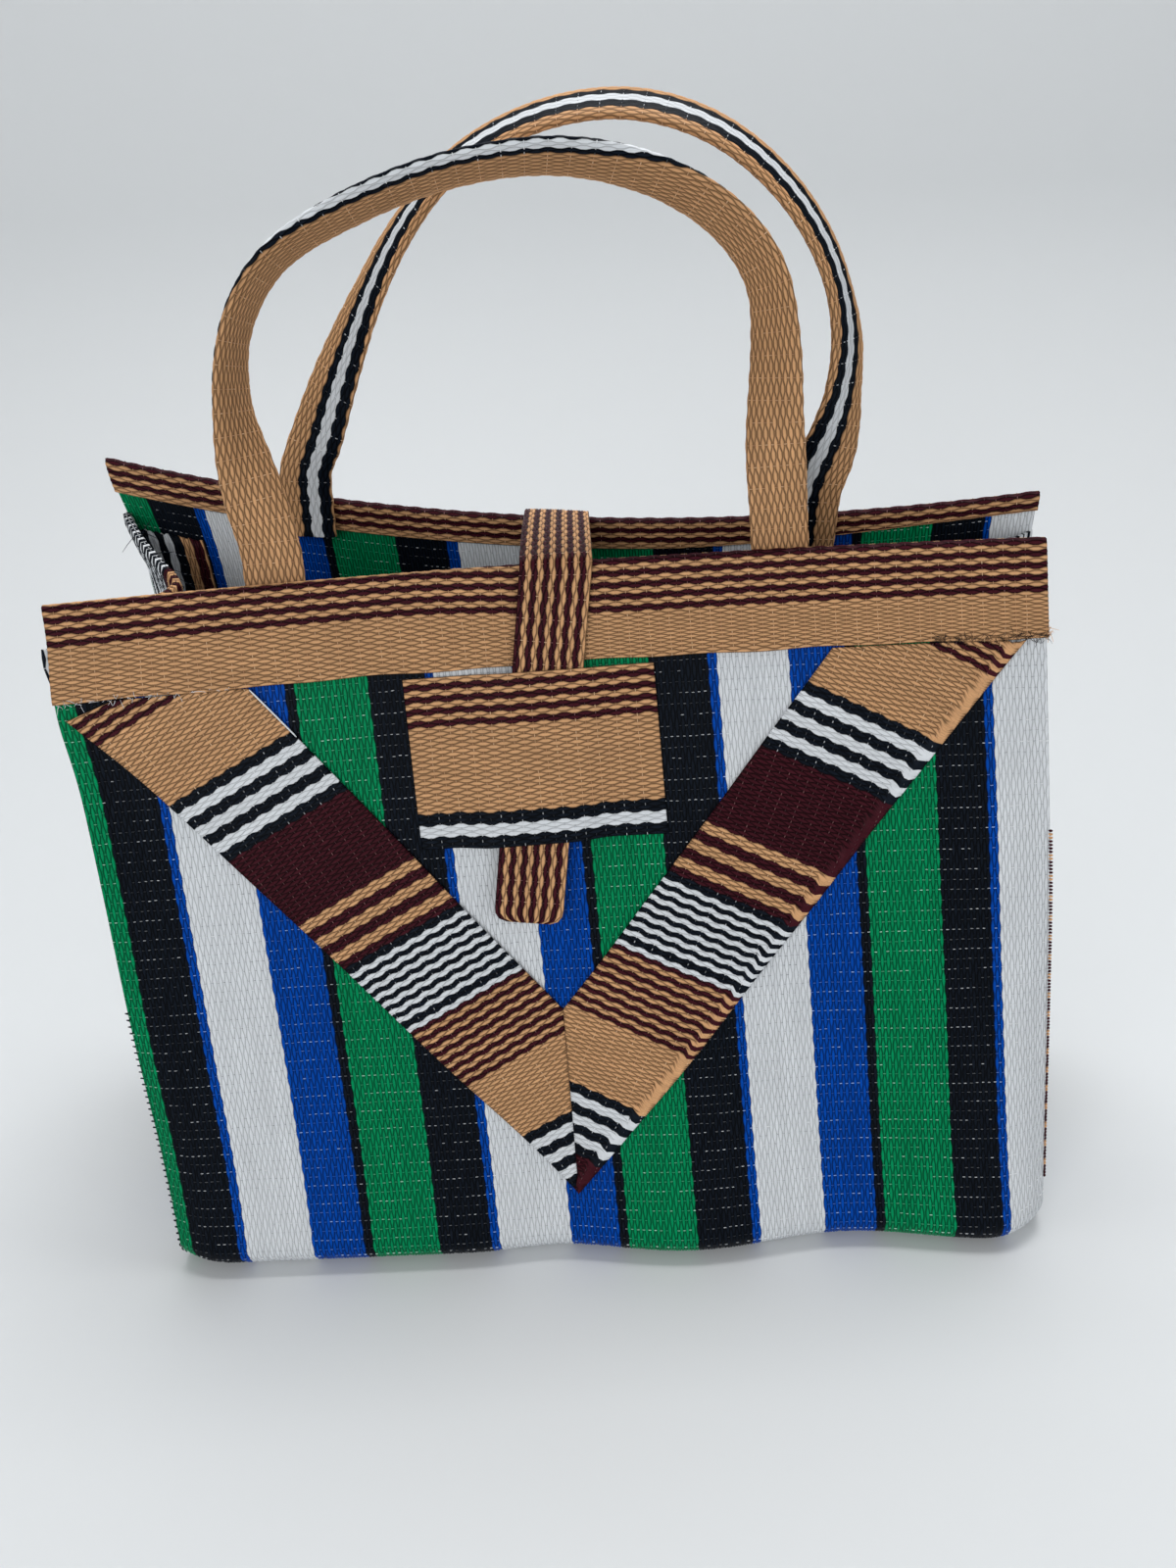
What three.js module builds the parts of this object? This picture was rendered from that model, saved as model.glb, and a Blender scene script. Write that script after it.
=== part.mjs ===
// Woven straw tote bag: sewn walls, folded side gussets, bound rims, two handles and a pull-through strap.
// Millimetres, +Z up, the front wall faces -Y. Walls are laid out from the middle of the base.
import * as THREE from 'three';

// Sheets and seams
const SHEET = 1.5; // woven wall
const BINDING = 1.2; // rim binding, one ply
const TRIM = 1.0; // sewn-on strips and patch
const GAP = 0.3; // room between pieces that touch
const SEAM_GAP = 0.5; // between a wall and a gusset
const FLOOR_LIFT = 0.5; // lower edge of the walls above the floor

// Walls
const HALF_WIDTH = 178; // half of a wall, laid flat
const WALL_HEIGHT = 272; // a wall, laid flat
const HALF_DEPTH = 72; // half of the base, front to back
const CORNER_RADIUS = 36; // of the soft upright corners
const CORNER_FADE = 0.8; // share of the height at which the corner has gone flat
const WAVE_LENGTH = 124; // of the ripple in the front's lower edge
const WAVE_CREST = 31; // across, where it bulges most
const WAVE_STARTS = -70; // across, where it begins
const WAVE_GROWS = 60; // across, until it is full
const FRONT = {
  side: -1, left: [-187, -16, 264], middle: [-15, 8, 264], right: [158, 5, 267],
  turnLeft: 38, turnRight: 16, belly: 4, wave: 3.4,
};
const BACK = {
  side: 1, left: [-193, 88, 286], middle: [-15, 66, 264], right: [172, 46, 272],
  turnLeft: 36, turnRight: 36, belly: 5, wave: 0,
};

// Side gussets
const GUSSET_HEIGHT = 268;
const CREASE_LEFT = 27; // how far the left side is folded in at the rim
const CREASE_RIGHT = 50;
const CREASE_POWER = 1.25; // how the fold grows with height
const CREASE_RADIUS = 6;
const CREASE_SOFT = [0.08, 0.4]; // least and most rounding, as a share of half the opening
const GUSSET_BULGE = 4;

// Rim bindings and hems
const BINDING_DROP = 33.5; // outer ply below the rim
const INNER_DROP = 16; // inner ply below the rim
const INNER_SHORT = 26; // inner ply stops this far from each seam
const INNER_STUB = 0.4;
const FOLD_EASE = 0.6;
const HEM_DROP = 15;
const HEM_ROOM = 0.2; // more room where the gusset twists
const HEM_ENDS = { left: [0.13, 0.87], right: [0.2, 0.8] };

// Sewn-on V of two strips: outer and inner end of each at the binding, and the mitre they share
const STRIP_TOP = WALL_HEIGHT - BINDING_DROP - GAP;
const STRIP_OUTER_TOP = 233.5;
const STRIP_LEFT = { outer: [-174.5, STRIP_OUTER_TOP], inner: [-113, STRIP_TOP] };
const STRIP_RIGHT = { outer: [170, STRIP_TOP], inner: [100.5, STRIP_TOP] };
const MITRE_TOP = [-11.7, 108.2];
const MITRE_TIP = [-13, 30.1];

// Closing strap and the patch that holds its end
const STRAP_WIDTH = 25.5;
const STRAP_THICK = 2;
const STRAP_AT_RIM = 2; // across, where it passes the rim
const STRAP_SLANT = 10.5; // degrees
const STRAP_END = 142; // height of its rounded end
const STRAP_ROUNDING = 9;
const ANCHOR_DROP = 42; // sewn part behind the back rim
const ANCHOR_GAP = 1.2; // between the sliding strap and its sewn end
const ANCHOR_EDGE = 0.5; // the sewn end reaches this far inside the back wall's middle
const ANCHOR_ROUND = 1;
const STRAP_ROOM = 0.5; // between the strap and the bindings
const STRAP_BEND = 2; // radius at the front rim, to the strap's middle
const PATCH = { left: -58, right: 34.5, low: 174.5, high: 236.4 };
const TUNNEL_ROOM = 1.2; // slack around the strap, each side
const TUNNEL_RAMP = 6;

// Handles at rest: centre line across and up from the hinge, and how far the band has turned on edge
// (share of the length, degrees) with its outer edge to the front (-1) or to the back (1)
const HANDLE_WIDTH = 22;
const HANDLE_THICK = 4;
const HINGE_HEIGHT = 284; // along the wall
const HANDLE_ENDS_AT = 258; // lower end of the sewn part, along the wall
const SWING_LIMIT = 136; // degrees, the most that a loop turns from its sewn ends
const FRONT_HANDLE = {
  wall: FRONT, legs: [-99.1, 85.3], lean: 8, standOff: 1, outerEdge: -1,
  twist: [[0, 0], [0.02, 0], [0.07, 30], [0.13, 62], [0.2, 70], [0.5, 70], [0.8, 60], [0.9, 38],
    [0.98, 0], [1, 0]],
  line: [[-90, 0], [-95, 30], [-96, 52], [-91, 74], [-77, 93], [-50, 107], [-15, 117], [20, 119],
    [52, 111], [74, 97], [86, 80], [89, 60], [89, 30], [90, 0]],
};
const BACK_HANDLE = {
  wall: BACK, legs: [-93.9, 97.8], lean: 1, standOff: 0.5, outerEdge: 1,
  twist: [[0, 0], [0.03, 0], [0.1, 38], [0.2, 62], [0.5, 66], [0.8, 66], [0.9, 48], [0.98, 0], [1, 0]],
  line: [[-99, 0], [-86, 18], [-80, 36], [-70, 64], [-55, 88], [-34, 110], [-5, 124], [26, 128],
    [55, 121], [80, 104], [97, 82], [106, 57], [107, 38], [105, 19], [99, 0]],
};

// Base
const BASE_INSET = SHEET / 2 + GAP + 0.9; // the walls lean in as they rise
const BASE_CORNER = 4;

// Mesh steps
const HEIGHT_STEPS = 12;
const ACROSS_STEP = 11;
const HANDLE_STEPS = 48;
const LEG_STRAIGHT = 0.05; // share of a handle that leaves the hinge straight
const NUDGE = 0.5;
const SEAM_RUN = 6;
const SEAM_DEPTH = 0.05;

const GREEN = 0x0a7a3c;
const BLACK = 0x15171c;
const WHITE = 0xe4e2dc;
const BLUE = 0x10309a;
const TAN = 0xc79c6c;
const MAROON = 0x4a1c26;

const radians = THREE.MathUtils.degToRad;
const vec = (p) => new THREE.Vector3(p[0], p[1], p[2]);
const clamp = THREE.MathUtils.clamp;
const smooth = THREE.MathUtils.smoothstep;

// A wall's middle surface: across from -HALF_WIDTH to HALF_WIDTH, height along the cloth
function wallPoint(wall, across, height) {
  const up = height / WALL_HEIGHT;
  const t = across / HALF_WIDTH;
  const left = vec(wall.left);
  const middle = vec(wall.middle);
  const right = vec(wall.right);
  const slope = right.clone().sub(left).multiplyScalar(0.5);
  const bow = right.clone().add(left).multiplyScalar(0.5).sub(middle);
  const rim = middle.clone().addScaledVector(slope, t).addScaledVector(bow, t * t);
  const p = new THREE.Vector3(across, wall.side * HALF_DEPTH, FLOOR_LIFT).lerp(rim, up);
  const low = clamp(1 - up, 0, 1);
  const turn = radians(across < 0 ? wall.turnLeft : wall.turnRight) * Math.max(0, 1 - up / CORNER_FADE);
  const past = Math.abs(across) - (HALF_WIDTH - CORNER_RADIUS * turn);
  if (past > 0 && turn > 0) {
    const angle = past / CORNER_RADIUS;
    p.x += Math.sign(across) * (CORNER_RADIUS * Math.sin(angle) - past);
    p.y -= wall.side * CORNER_RADIUS * (1 - Math.cos(angle));
  }
  const full = smooth(across, WAVE_STARTS, WAVE_STARTS + WAVE_GROWS);
  const ripple = wall.wave * Math.cos((2 * Math.PI * (across - WAVE_CREST)) / WAVE_LENGTH);
  p.y += wall.side * ripple * full * low ** 3;
  p.y += wall.side * wall.belly * Math.sin(Math.PI * clamp(up, 0, 1)) * (1 - 0.7 * t * t);
  return p;
}

function wallNormal(wall, across, height) {
  const a = wallPoint(wall, across + NUDGE, height).sub(wallPoint(wall, across - NUDGE, height));
  const h = wallPoint(wall, across, height + NUDGE).sub(wallPoint(wall, across, height - NUDGE));
  return a.cross(h).normalize().multiplyScalar(-wall.side);
}

// A point at a distance outside a wall's middle surface
function onWall(wall, across, height, out) {
  return wallPoint(wall, across, height).addScaledVector(wallNormal(wall, across, height), out);
}

// A gusset's middle surface: depth 0 at the front seam and 1 at the back seam
function gussetPoint(hand, depth, height) {
  const front = wallPoint(FRONT, hand * HALF_WIDTH, height);
  const back = wallPoint(BACK, hand * HALF_WIDTH, height);
  const up = clamp(height / WALL_HEIGHT, 0, 1);
  const fold = (hand < 0 ? CREASE_LEFT : CREASE_RIGHT) * up ** CREASE_POWER;
  const span = front.distanceTo(back);
  const soft = clamp((4 * fold * CREASE_RADIUS) / span ** 2, CREASE_SOFT[0], CREASE_SOFT[1]);
  const end = Math.hypot(1, soft);
  const tent = (end - Math.hypot(2 * depth - 1, soft)) / (end - soft);
  const p = front.lerp(back, depth);
  p.x += hand * (GUSSET_BULGE * Math.sin(Math.PI * depth) * (1 - up) * up * 2 - fold * tent);
  return p;
}

function gussetNormal(hand, depth, height) {
  const step = 0.004;
  const d = gussetPoint(hand, depth + step, height).sub(gussetPoint(hand, depth - step, height));
  const h = gussetPoint(hand, depth, height + NUDGE).sub(gussetPoint(hand, depth, height - NUDGE));
  return d.cross(h).normalize().multiplyScalar(hand);
}

function onGusset(hand, depth, height, out) {
  return gussetPoint(hand, depth, height).addScaledVector(gussetNormal(hand, depth, height), out);
}

// The mitred edge where a wall meets a gusset, on the wall or on the gusset; side +1 is the outer face
function seamPoint(wall, hand, height, side, onTheWall) {
  const edge = wallPoint(wall, hand * HALF_WIDTH, height);
  const start = wall.side < 0 ? 0 : 1;
  const next = wall.side < 0 ? SEAM_DEPTH : 1 - SEAM_DEPTH;
  const intoWall = wallPoint(wall, hand * (HALF_WIDTH - SEAM_RUN), height).sub(edge).normalize();
  const intoGusset = gussetPoint(hand, next, height).sub(edge).normalize();
  const half = intoWall.angleTo(intoGusset) / 2;
  const along = onTheWall ? intoWall : intoGusset;
  const out = onTheWall ? wallNormal(wall, hand * HALF_WIDTH, height) : gussetNormal(hand, start, height);
  const mitre = SHEET / 2 / Math.tan(half);
  const back = SEAM_GAP / 2 / Math.sin(half) + (side > 0 ? -Math.min(mitre, SHEET) : mitre);
  return edge.addScaledVector(along, back).addScaledVector(out, (side * SHEET) / 2);
}

// A closed solid: a section between two matching paths, carried through a list of stations.
// The faces are split the same way on both sides, so that sheets keep their thickness where they twist.
function sweep(name, colour, [inner, outer], stations, place) {
  const ring = [...inner, ...outer.toReversed()];
  const n = ring.length;
  const points = stations.flatMap((station) => ring.map(([p, q]) => place(p, q, station)));
  const faces = [];
  for (let i = 0; i + 1 < stations.length; i++) {
    for (let j = 0; j < n; j++) {
      const a = i * n + j;
      const next = (j + 1) % n;
      const b = i * n + next;
      if (ring[next][0] >= ring[j][0]) faces.push([a, b, b + n], [a, b + n, a + n]);
      else faces.push([a, b, a + n], [b, b + n, a + n]);
    }
  }
  const last = (stations.length - 1) * n;
  for (let j = 0; j + 1 < inner.length; j++) {
    const k = n - 1 - j;
    faces.push([j, k, k - 1], [j, k - 1, j + 1]);
    faces.push([last + j, last + k - 1, last + k], [last + j, last + j + 1, last + k - 1]);
  }
  return solid(name, colour, points, faces);
}

function solid(name, colour, points, faces) {
  let volume = 0;
  for (const [a, b, c] of faces) {
    volume += points[a].dot(points[b].clone().cross(points[c]));
  }
  const index = faces.flatMap(([a, b, c]) => (volume > 0 ? [a, b, c] : [a, c, b]));
  const geometry = new THREE.BufferGeometry().setFromPoints(points);
  geometry.setIndex(index);
  geometry.computeVertexNormals();
  const look = new THREE.MeshStandardMaterial({ color: colour, roughness: 0.6, metalness: 0 });
  const mesh = new THREE.Mesh(geometry, look);
  mesh.name = name;
  return mesh;
}

// A direction turned by an angle towards another at right angles to it
function turned(from, to, angle) {
  return from.clone().multiplyScalar(Math.cos(angle)).addScaledVector(to, Math.sin(angle));
}

// Evenly spaced numbers from a to b, with both ends
function steps(a, b, count) {
  return Array.from({ length: count + 1 }, (_, i) => a + ((b - a) * i) / count);
}

// The section of a sheet that is long one way: both faces, with points along it
function sheetOutline(along) {
  return [along.map((p) => [p, -1]), along.map((p) => [p, 1])];
}

const INNER_END = HALF_WIDTH - INNER_SHORT;
const ACROSS = steps(-HALF_WIDTH, HALF_WIDTH, Math.round((2 * HALF_WIDTH) / ACROSS_STEP));
const PLAIN_ROWS = steps(0, WALL_HEIGHT - BINDING_DROP, HEIGHT_STEPS);
const WALL_ROWS = [...PLAIN_ROWS, WALL_HEIGHT - INNER_DROP, WALL_HEIGHT];
const GUSSET_ROWS = [...PLAIN_ROWS, GUSSET_HEIGHT - HEM_DROP, GUSSET_HEIGHT];
const DEPTHS = [0, 0.08, 0.17, 0.26, 0.34, 0.41, 0.46, 0.5, 0.54, 0.59, 0.66, 0.74, 0.83, 0.92, 1];

function wallSheet(name, colour, wall) {
  return sweep(name, colour, sheetOutline(WALL_ROWS), ACROSS, (height, side, across) => {
    const atSeam = HALF_WIDTH - Math.abs(across) < NUDGE;
    if (atSeam) return seamPoint(wall, Math.sign(across), height, side, true);
    return onWall(wall, across, height, (side * SHEET) / 2);
  });
}

function gussetSheet(name, colour, hand) {
  return sweep(name, colour, sheetOutline(DEPTHS), GUSSET_ROWS, (depth, side, height) => {
    if (depth === 0) return seamPoint(FRONT, hand, height, side, false);
    if (depth === 1) return seamPoint(BACK, hand, height, side, false);
    return onGusset(hand, depth, height, (side * SHEET) / 2);
  });
}

// The folded section of a binding over an edge: the outer ply's rows, over the top, down the inner ply
function foldOutline(edge, outerDrops, innerDrop, room) {
  const near = SHEET / 2 + GAP + room;
  const far = near + BINDING;
  const under = edge + GAP;
  const top = under + BINDING;
  const inEase = FOLD_EASE / 3;
  const ply = (out) => outerDrops.map((drop) => [edge - drop, out]);
  const inner = [
    ...ply(near), [under - inEase, near], [under, near - inEase],
    [under, inEase - near], [under - inEase, -near], [edge - innerDrop, -near],
  ];
  const outer = [
    ...ply(far), [top - FOLD_EASE, far], [top, far - FOLD_EASE],
    [top, FOLD_EASE - far], [top - FOLD_EASE, -far], [edge - innerDrop, -far],
  ];
  return [inner, outer];
}

function rimBinding(name, wall) {
  const outline = foldOutline(WALL_HEIGHT, [BINDING_DROP, INNER_DROP], INNER_DROP, 0);
  const stops = [-INNER_END - GAP, -INNER_END, INNER_END, INNER_END + GAP];
  const stations = [...ACROSS, ...stops].sort((a, b) => a - b);
  return sweep(name, TAN, outline, stations, (height, out, across) => {
    const cut = Math.abs(across) > INNER_END && out < 0 && height < WALL_HEIGHT - 1;
    return onWall(wall, across, cut ? WALL_HEIGHT - INNER_STUB : height, out);
  });
}

function gussetHem(name, hand, ends) {
  const outline = foldOutline(GUSSET_HEIGHT, [HEM_DROP], HEM_DROP, HEM_ROOM);
  const stations = DEPTHS.filter((d) => d > ends[0] && d < ends[1]);
  return sweep(name, TAN, outline, [ends[0], ...stations, ends[1]], (height, out, depth) =>
    onGusset(hand, depth, height, out));
}

function basePanel(name) {
  const inner = steps(BASE_CORNER - HALF_WIDTH, HALF_WIDTH - BASE_CORNER, ACROSS.length);
  const edge = (wall) => inner.map((across) => onWall(wall, across, 0, -BASE_INSET)).map((p) => [p.x, p.y]);
  const outline = [edge(FRONT), edge(BACK)];
  return sweep(name, GREEN, outline, [0, SHEET], (x, y, z) => new THREE.Vector3(x, y, z));
}

// A sewn-on strip between four corners given across and up the front wall
function vStrip(name, colour, ends) {
  const along = steps(0, 1, 16);
  const near = SHEET / 2 + GAP;
  const hand = Math.sign(ends.outer[0]);
  const mix = (a, b, t) => a + (b - a) * t;
  return sweep(name, colour, sheetOutline(steps(0, 1, 5)), along, (t, side, s) => {
    const top = [mix(ends.outer[0], ends.inner[0], t), mix(ends.outer[1], ends.inner[1], t)];
    const foot = [mix(MITRE_TIP[0], MITRE_TOP[0], t) + (hand * GAP) / 2, mix(MITRE_TIP[1], MITRE_TOP[1], t)];
    const out = side > 0 ? near + TRIM : near;
    return onWall(FRONT, mix(top[0], foot[0], s), mix(top[1], foot[1], s), out);
  });
}

// The strap's front run is straight: a slanted line in the plane that touches the front binding
function strapFrame() {
  const lift = SHEET / 2 + GAP + BINDING + STRAP_ROOM + STRAP_THICK / 2;
  const sideways = Math.tan(radians(STRAP_SLANT));
  const half = STRAP_WIDTH / 2;
  const top = onWall(FRONT, STRAP_AT_RIM, WALL_HEIGHT, lift);
  const lower = onWall(FRONT, STRAP_AT_RIM - BINDING_DROP * sideways, WALL_HEIGHT - BINDING_DROP, lift);
  const rim = wallPoint(FRONT, STRAP_AT_RIM + half, WALL_HEIGHT);
  rim.sub(wallPoint(FRONT, STRAP_AT_RIM - half, WALL_HEIGHT)).normalize();
  const up = top.clone().sub(lower).normalize();
  const out = rim.clone().cross(up).normalize();
  return { top, rim, up, out, across: up.clone().cross(out).normalize() };
}

// Where the strap meets its sewn end, above the back rim
function strapJoint() {
  const over = WALL_HEIGHT + GAP + BINDING + STRAP_ROOM;
  const half = STRAP_WIDTH / 2;
  const level = onWall(BACK, STRAP_AT_RIM + half, over, 0).sub(onWall(BACK, STRAP_AT_RIM - half, over, 0));
  const front = wallNormal(BACK, STRAP_AT_RIM, WALL_HEIGHT).negate();
  const across = level.normalize();
  const up = across.clone().cross(front).normalize();
  const point = onWall(BACK, STRAP_AT_RIM, over + STRAP_THICK / 2, -ANCHOR_GAP - ANCHOR_EDGE);
  return { point, across, up: up.z > 0 ? up : up.negate() };
}

function closureStrap(name) {
  const { top, rim, up, out, across } = strapFrame();
  const joint = strapJoint();
  const half = STRAP_WIDTH / 2;
  const slanted = half / Math.cos(radians(STRAP_SLANT));
  const foot = wallPoint(FRONT, STRAP_AT_RIM, STRAP_END).sub(top).dot(up);
  const stations = [];
  const add = (point, sideways, thick, width) => stations.push({ point, sideways, thick, width });
  for (const t of steps(0, 1, 5)) {
    const angle = (t * Math.PI) / 2;
    const narrow = half - STRAP_ROUNDING * (1 - Math.sin(angle));
    const y = foot + STRAP_ROUNDING * (1 - Math.cos(angle));
    add(top.clone().addScaledVector(up, y), across, out, narrow);
  }
  for (const t of steps(0.15, 0.9, 7)) {
    add(top.clone().addScaledVector(up, foot * (1 - t)), across, out, half);
  }
  const square = up.clone().addScaledVector(rim, -up.dot(rim)).normalize();
  const rise = GAP + BINDING + STRAP_ROOM + STRAP_THICK / 2 - STRAP_BEND;
  const centre = top.clone().addScaledVector(up, rise).addScaledVector(out, -STRAP_BEND);
  const bridge = joint.point.clone().sub(centre).normalize();
  const bridgeUp = rim.clone().cross(bridge).normalize();
  const turnTo = out.angleTo(bridgeUp);
  for (const t of steps(0, 1, 5)) {
    const ray = turned(out, square, t * turnTo);
    add(centre.clone().addScaledVector(ray, STRAP_BEND), rim, ray, slanted);
  }
  const from = stations.at(-1);
  for (const t of steps(0.15, 1, 6)) {
    const point = from.point.clone().lerp(joint.point, t);
    const sideways = rim.clone().lerp(joint.across, t).normalize();
    add(point, sideways, from.thick.clone().lerp(joint.up, t).normalize(), slanted + (half - slanted) * t);
  }
  const outline = [[[-1, -1], [0, -1], [1, -1]], [[-1, 1], [0, 1], [1, 1]]];
  return sweep(name, TAN, outline, stations, (p, q, s) =>
    s.point.clone().addScaledVector(s.sideways, p * s.width).addScaledVector(s.thick, (q * STRAP_THICK) / 2));
}

// The strap's sewn end: over the back rim and down outside the back wall
function strapAnchor(name) {
  const near = SHEET / 2 + GAP + BINDING + STRAP_ROOM;
  const far = near + STRAP_THICK;
  const over = WALL_HEIGHT + GAP + BINDING + STRAP_ROOM;
  const top = over + STRAP_THICK;
  const low = WALL_HEIGHT - ANCHOR_DROP;
  const ease = FOLD_EASE / 3;
  const inner = [[low, near], [over - ease, near], [over, near - ease], [over, -ANCHOR_EDGE]];
  const outer = [[low, far], [top - ANCHOR_ROUND, far], [top, far - ANCHOR_ROUND], [top, -ANCHOR_EDGE]];
  const half = STRAP_WIDTH / 2;
  const stations = steps(STRAP_AT_RIM - half, STRAP_AT_RIM + half, 3);
  return sweep(name, TAN, [inner, outer], stations, (height, out, across) =>
    onWall(BACK, across, height, out));
}

// How far outside the wall's middle the strap's outer face is
function strapFace(across, height) {
  const { top, out } = strapFrame();
  const toFace = top.clone().addScaledVector(out, STRAP_THICK / 2).sub(wallPoint(FRONT, across, height));
  return toFace.dot(out) / wallNormal(FRONT, across, height).dot(out);
}

// The patch lies on the wall and rises over the strap
function closurePatch(name) {
  const slope = Math.tan(radians(STRAP_SLANT));
  const near = SHEET / 2 + GAP;
  const reach = STRAP_WIDTH / 2 / Math.cos(radians(STRAP_SLANT)) + TUNNEL_ROOM;
  const marks = steps(-3, 3, 12);
  const stations = steps(PATCH.low, PATCH.high, 6);
  return sweep(name, TAN, sheetOutline(marks), stations, (mark, side, height) => {
    const centre = STRAP_AT_RIM - (WALL_HEIGHT - height) * slope;
    const size = Math.abs(mark);
    const hand = Math.sign(mark);
    const ramp = reach + TUNNEL_RAMP * clamp(size - 1, 0, 1);
    const end = hand < 0 ? PATCH.left : PATCH.right;
    let across = centre + hand * (size <= 1 ? size * reach : ramp);
    if (size > 2) across += (end - across) * (size - 2);
    const lift = THREE.MathUtils.lerp(strapFace(across, height) + TUNNEL_ROOM / 2, near, smooth(size, 1, 2));
    return onWall(FRONT, across, height, lift + (side > 0 ? TRIM : 0));
  });
}

// The hinge line of a handle, the plane it rests in, and the direction to the rear of that plane
function handleFrame(handle) {
  const inside = -(SHEET / 2 + GAP + BINDING + GAP + handle.standOff + HANDLE_THICK / 2);
  const [left, right] = handle.legs.map((leg) => onWall(handle.wall, leg, HINGE_HEIGHT, inside));
  const centre = left.clone().add(right).multiplyScalar(0.5);
  const axis = right.clone().sub(left).normalize();
  const lean = radians(handle.lean);
  const up = new THREE.Vector3(0, Math.sin(lean), Math.cos(lean));
  up.addScaledVector(axis, -up.dot(axis)).normalize();
  const rear = up.clone().cross(axis).normalize();
  const half = left.distanceTo(right) / 2;
  return { centre, axis, up, rear, half, ends: [left, right] };
}

// A value between the [place, value] pairs of a list
function between(list, at) {
  const i = clamp(list.findIndex(([place]) => place >= at), 1, list.length - 1);
  const [from, low] = list[i - 1];
  const [to, high] = list[i];
  return low + (high - low) * clamp((at - from) / (to - from), 0, 1);
}

// A handle's section: width by thickness, with eased edges
function handleOutline() {
  const w = HANDLE_WIDTH / 2;
  const t = HANDLE_THICK / 2;
  const face = (s) => [[-w, s * t * 0.4], [1 - w, s * t], [0, s * t], [w - 1, s * t], [w, s * t * 0.4]];
  return [face(-1), face(1)];
}

function handleLoop(name, handle) {
  const { centre, axis, up, rear, half } = handleFrame(handle);
  const last = handle.line.length - 1;
  const line = handle.line.map(([x, y], i) => {
    const across = i === 0 ? -half : i === last ? half : x;
    return new THREE.Vector3(across, y, 0);
  });
  const curve = new THREE.CatmullRomCurve3(line, false, 'centripetal');
  const stations = [];
  for (let i = 0; i <= HANDLE_STEPS; i++) {
    const share = i / HANDLE_STEPS;
    const at = curve.getPointAt(share);
    const way = curve.getTangentAt(share);
    const free = smooth(Math.min(share, 1 - share), 0, LEG_STRAIGHT);
    const leg = share < 0.5 ? up : up.clone().negate();
    const course = leg.clone().lerp(axis.clone().multiplyScalar(way.x).addScaledVector(up, way.y), free);
    const outer = course.normalize().cross(rear).normalize();
    const turn = radians(between(handle.twist, share)) * handle.outerEdge;
    const across = turned(outer, rear, turn);
    const through = turned(rear, outer, -turn);
    const point = centre.clone().addScaledVector(axis, at.x).addScaledVector(up, at.y);
    stations.push({ point, across, through, thin: 1 });
  }
  const round = (station) => [0.67, 0.93].map((share) => ({
    ...station,
    point: station.point.clone().addScaledVector(up, (-share * HANDLE_THICK) / 2),
    thin: Math.sqrt(1 - share ** 2),
  }));
  const all = [...round(stations[0]).toReversed(), ...stations, ...round(stations.at(-1))];
  return sweep(name, TAN, handleOutline(), all, (w, t, s) =>
    s.point.clone().addScaledVector(s.across, w).addScaledVector(s.through, t * s.thin));
}

// A handle's sewn end: flat inside the rim, its top cut to let the loop fold outwards
function handleEnd(name, handle, which) {
  const { axis, ends } = handleFrame(handle);
  const pivot = ends[which];
  const leg = handle.legs[which];
  const up = wallPoint(handle.wall, leg, HINGE_HEIGHT).sub(wallPoint(handle.wall, leg, HANDLE_ENDS_AT));
  up.addScaledVector(axis, -up.dot(axis)).normalize();
  const inward = up.clone().cross(axis).normalize().multiplyScalar(-handle.wall.side);
  const t = HANDLE_THICK / 2;
  const clear = t + GAP;
  const limit = radians(SWING_LIMIT);
  const cut = (w) => (clear + w * Math.cos(limit)) / -Math.sin(limit);
  const foot = HANDLE_ENDS_AT - HINGE_HEIGHT;
  const outline = [[[-t, foot], [-t, cut(-t)]], [[t, foot], [t, cut(t)]]];
  const half = HANDLE_WIDTH / 2;
  return sweep(name, TAN, outline, [-half, half], (w, h, s) =>
    pivot.clone().addScaledVector(axis, s).addScaledVector(inward, w).addScaledVector(up, h));
}

const bag = new THREE.Group();
bag.name = 'woven_tote_bag';
bag.add(
  wallSheet('front_panel', GREEN, FRONT),
  wallSheet('back_panel', GREEN, BACK),
  gussetSheet('left_gusset', WHITE, -1),
  gussetSheet('right_gusset', WHITE, 1),
  basePanel('base_panel'),
  rimBinding('front_rim_binding', FRONT),
  rimBinding('back_rim_binding', BACK),
  gussetHem('left_gusset_hem', -1, HEM_ENDS.left),
  gussetHem('right_gusset_hem', 1, HEM_ENDS.right),
  vStrip('v_strip_left', MAROON, STRIP_LEFT),
  vStrip('v_strip_right', BLACK, STRIP_RIGHT),
  closurePatch('closure_patch'),
  strapAnchor('closure_strap_sewn_end'),
  closureStrap('closure_strap'),
  handleEnd('front_handle_left_end', FRONT_HANDLE, 0),
  handleEnd('front_handle_right_end', FRONT_HANDLE, 1),
  handleLoop('front_handle', FRONT_HANDLE),
  handleEnd('back_handle_left_end', BACK_HANDLE, 0),
  handleEnd('back_handle_right_end', BACK_HANDLE, 1),
  handleLoop('back_handle', BACK_HANDLE),
);

// The origin is the middle of the whole bag's plan, on the floor
const extent = new THREE.Box3().setFromObject(bag);
const middle = extent.getCenter(new THREE.Vector3());
for (const piece of bag.children) piece.geometry.translate(-middle.x, -middle.y, -extent.min.z);

export default bag;
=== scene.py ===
# Woven straw tote bag: the looks. Each sheet is a woven surface, its straws, ties and stripes are geometry.
# Sizes are in millimetres in the wall frame, and are turned into metres when a mesh is made.
import math

import bmesh
import bpy
import numpy as np
from mathutils import Matrix, Vector


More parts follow.
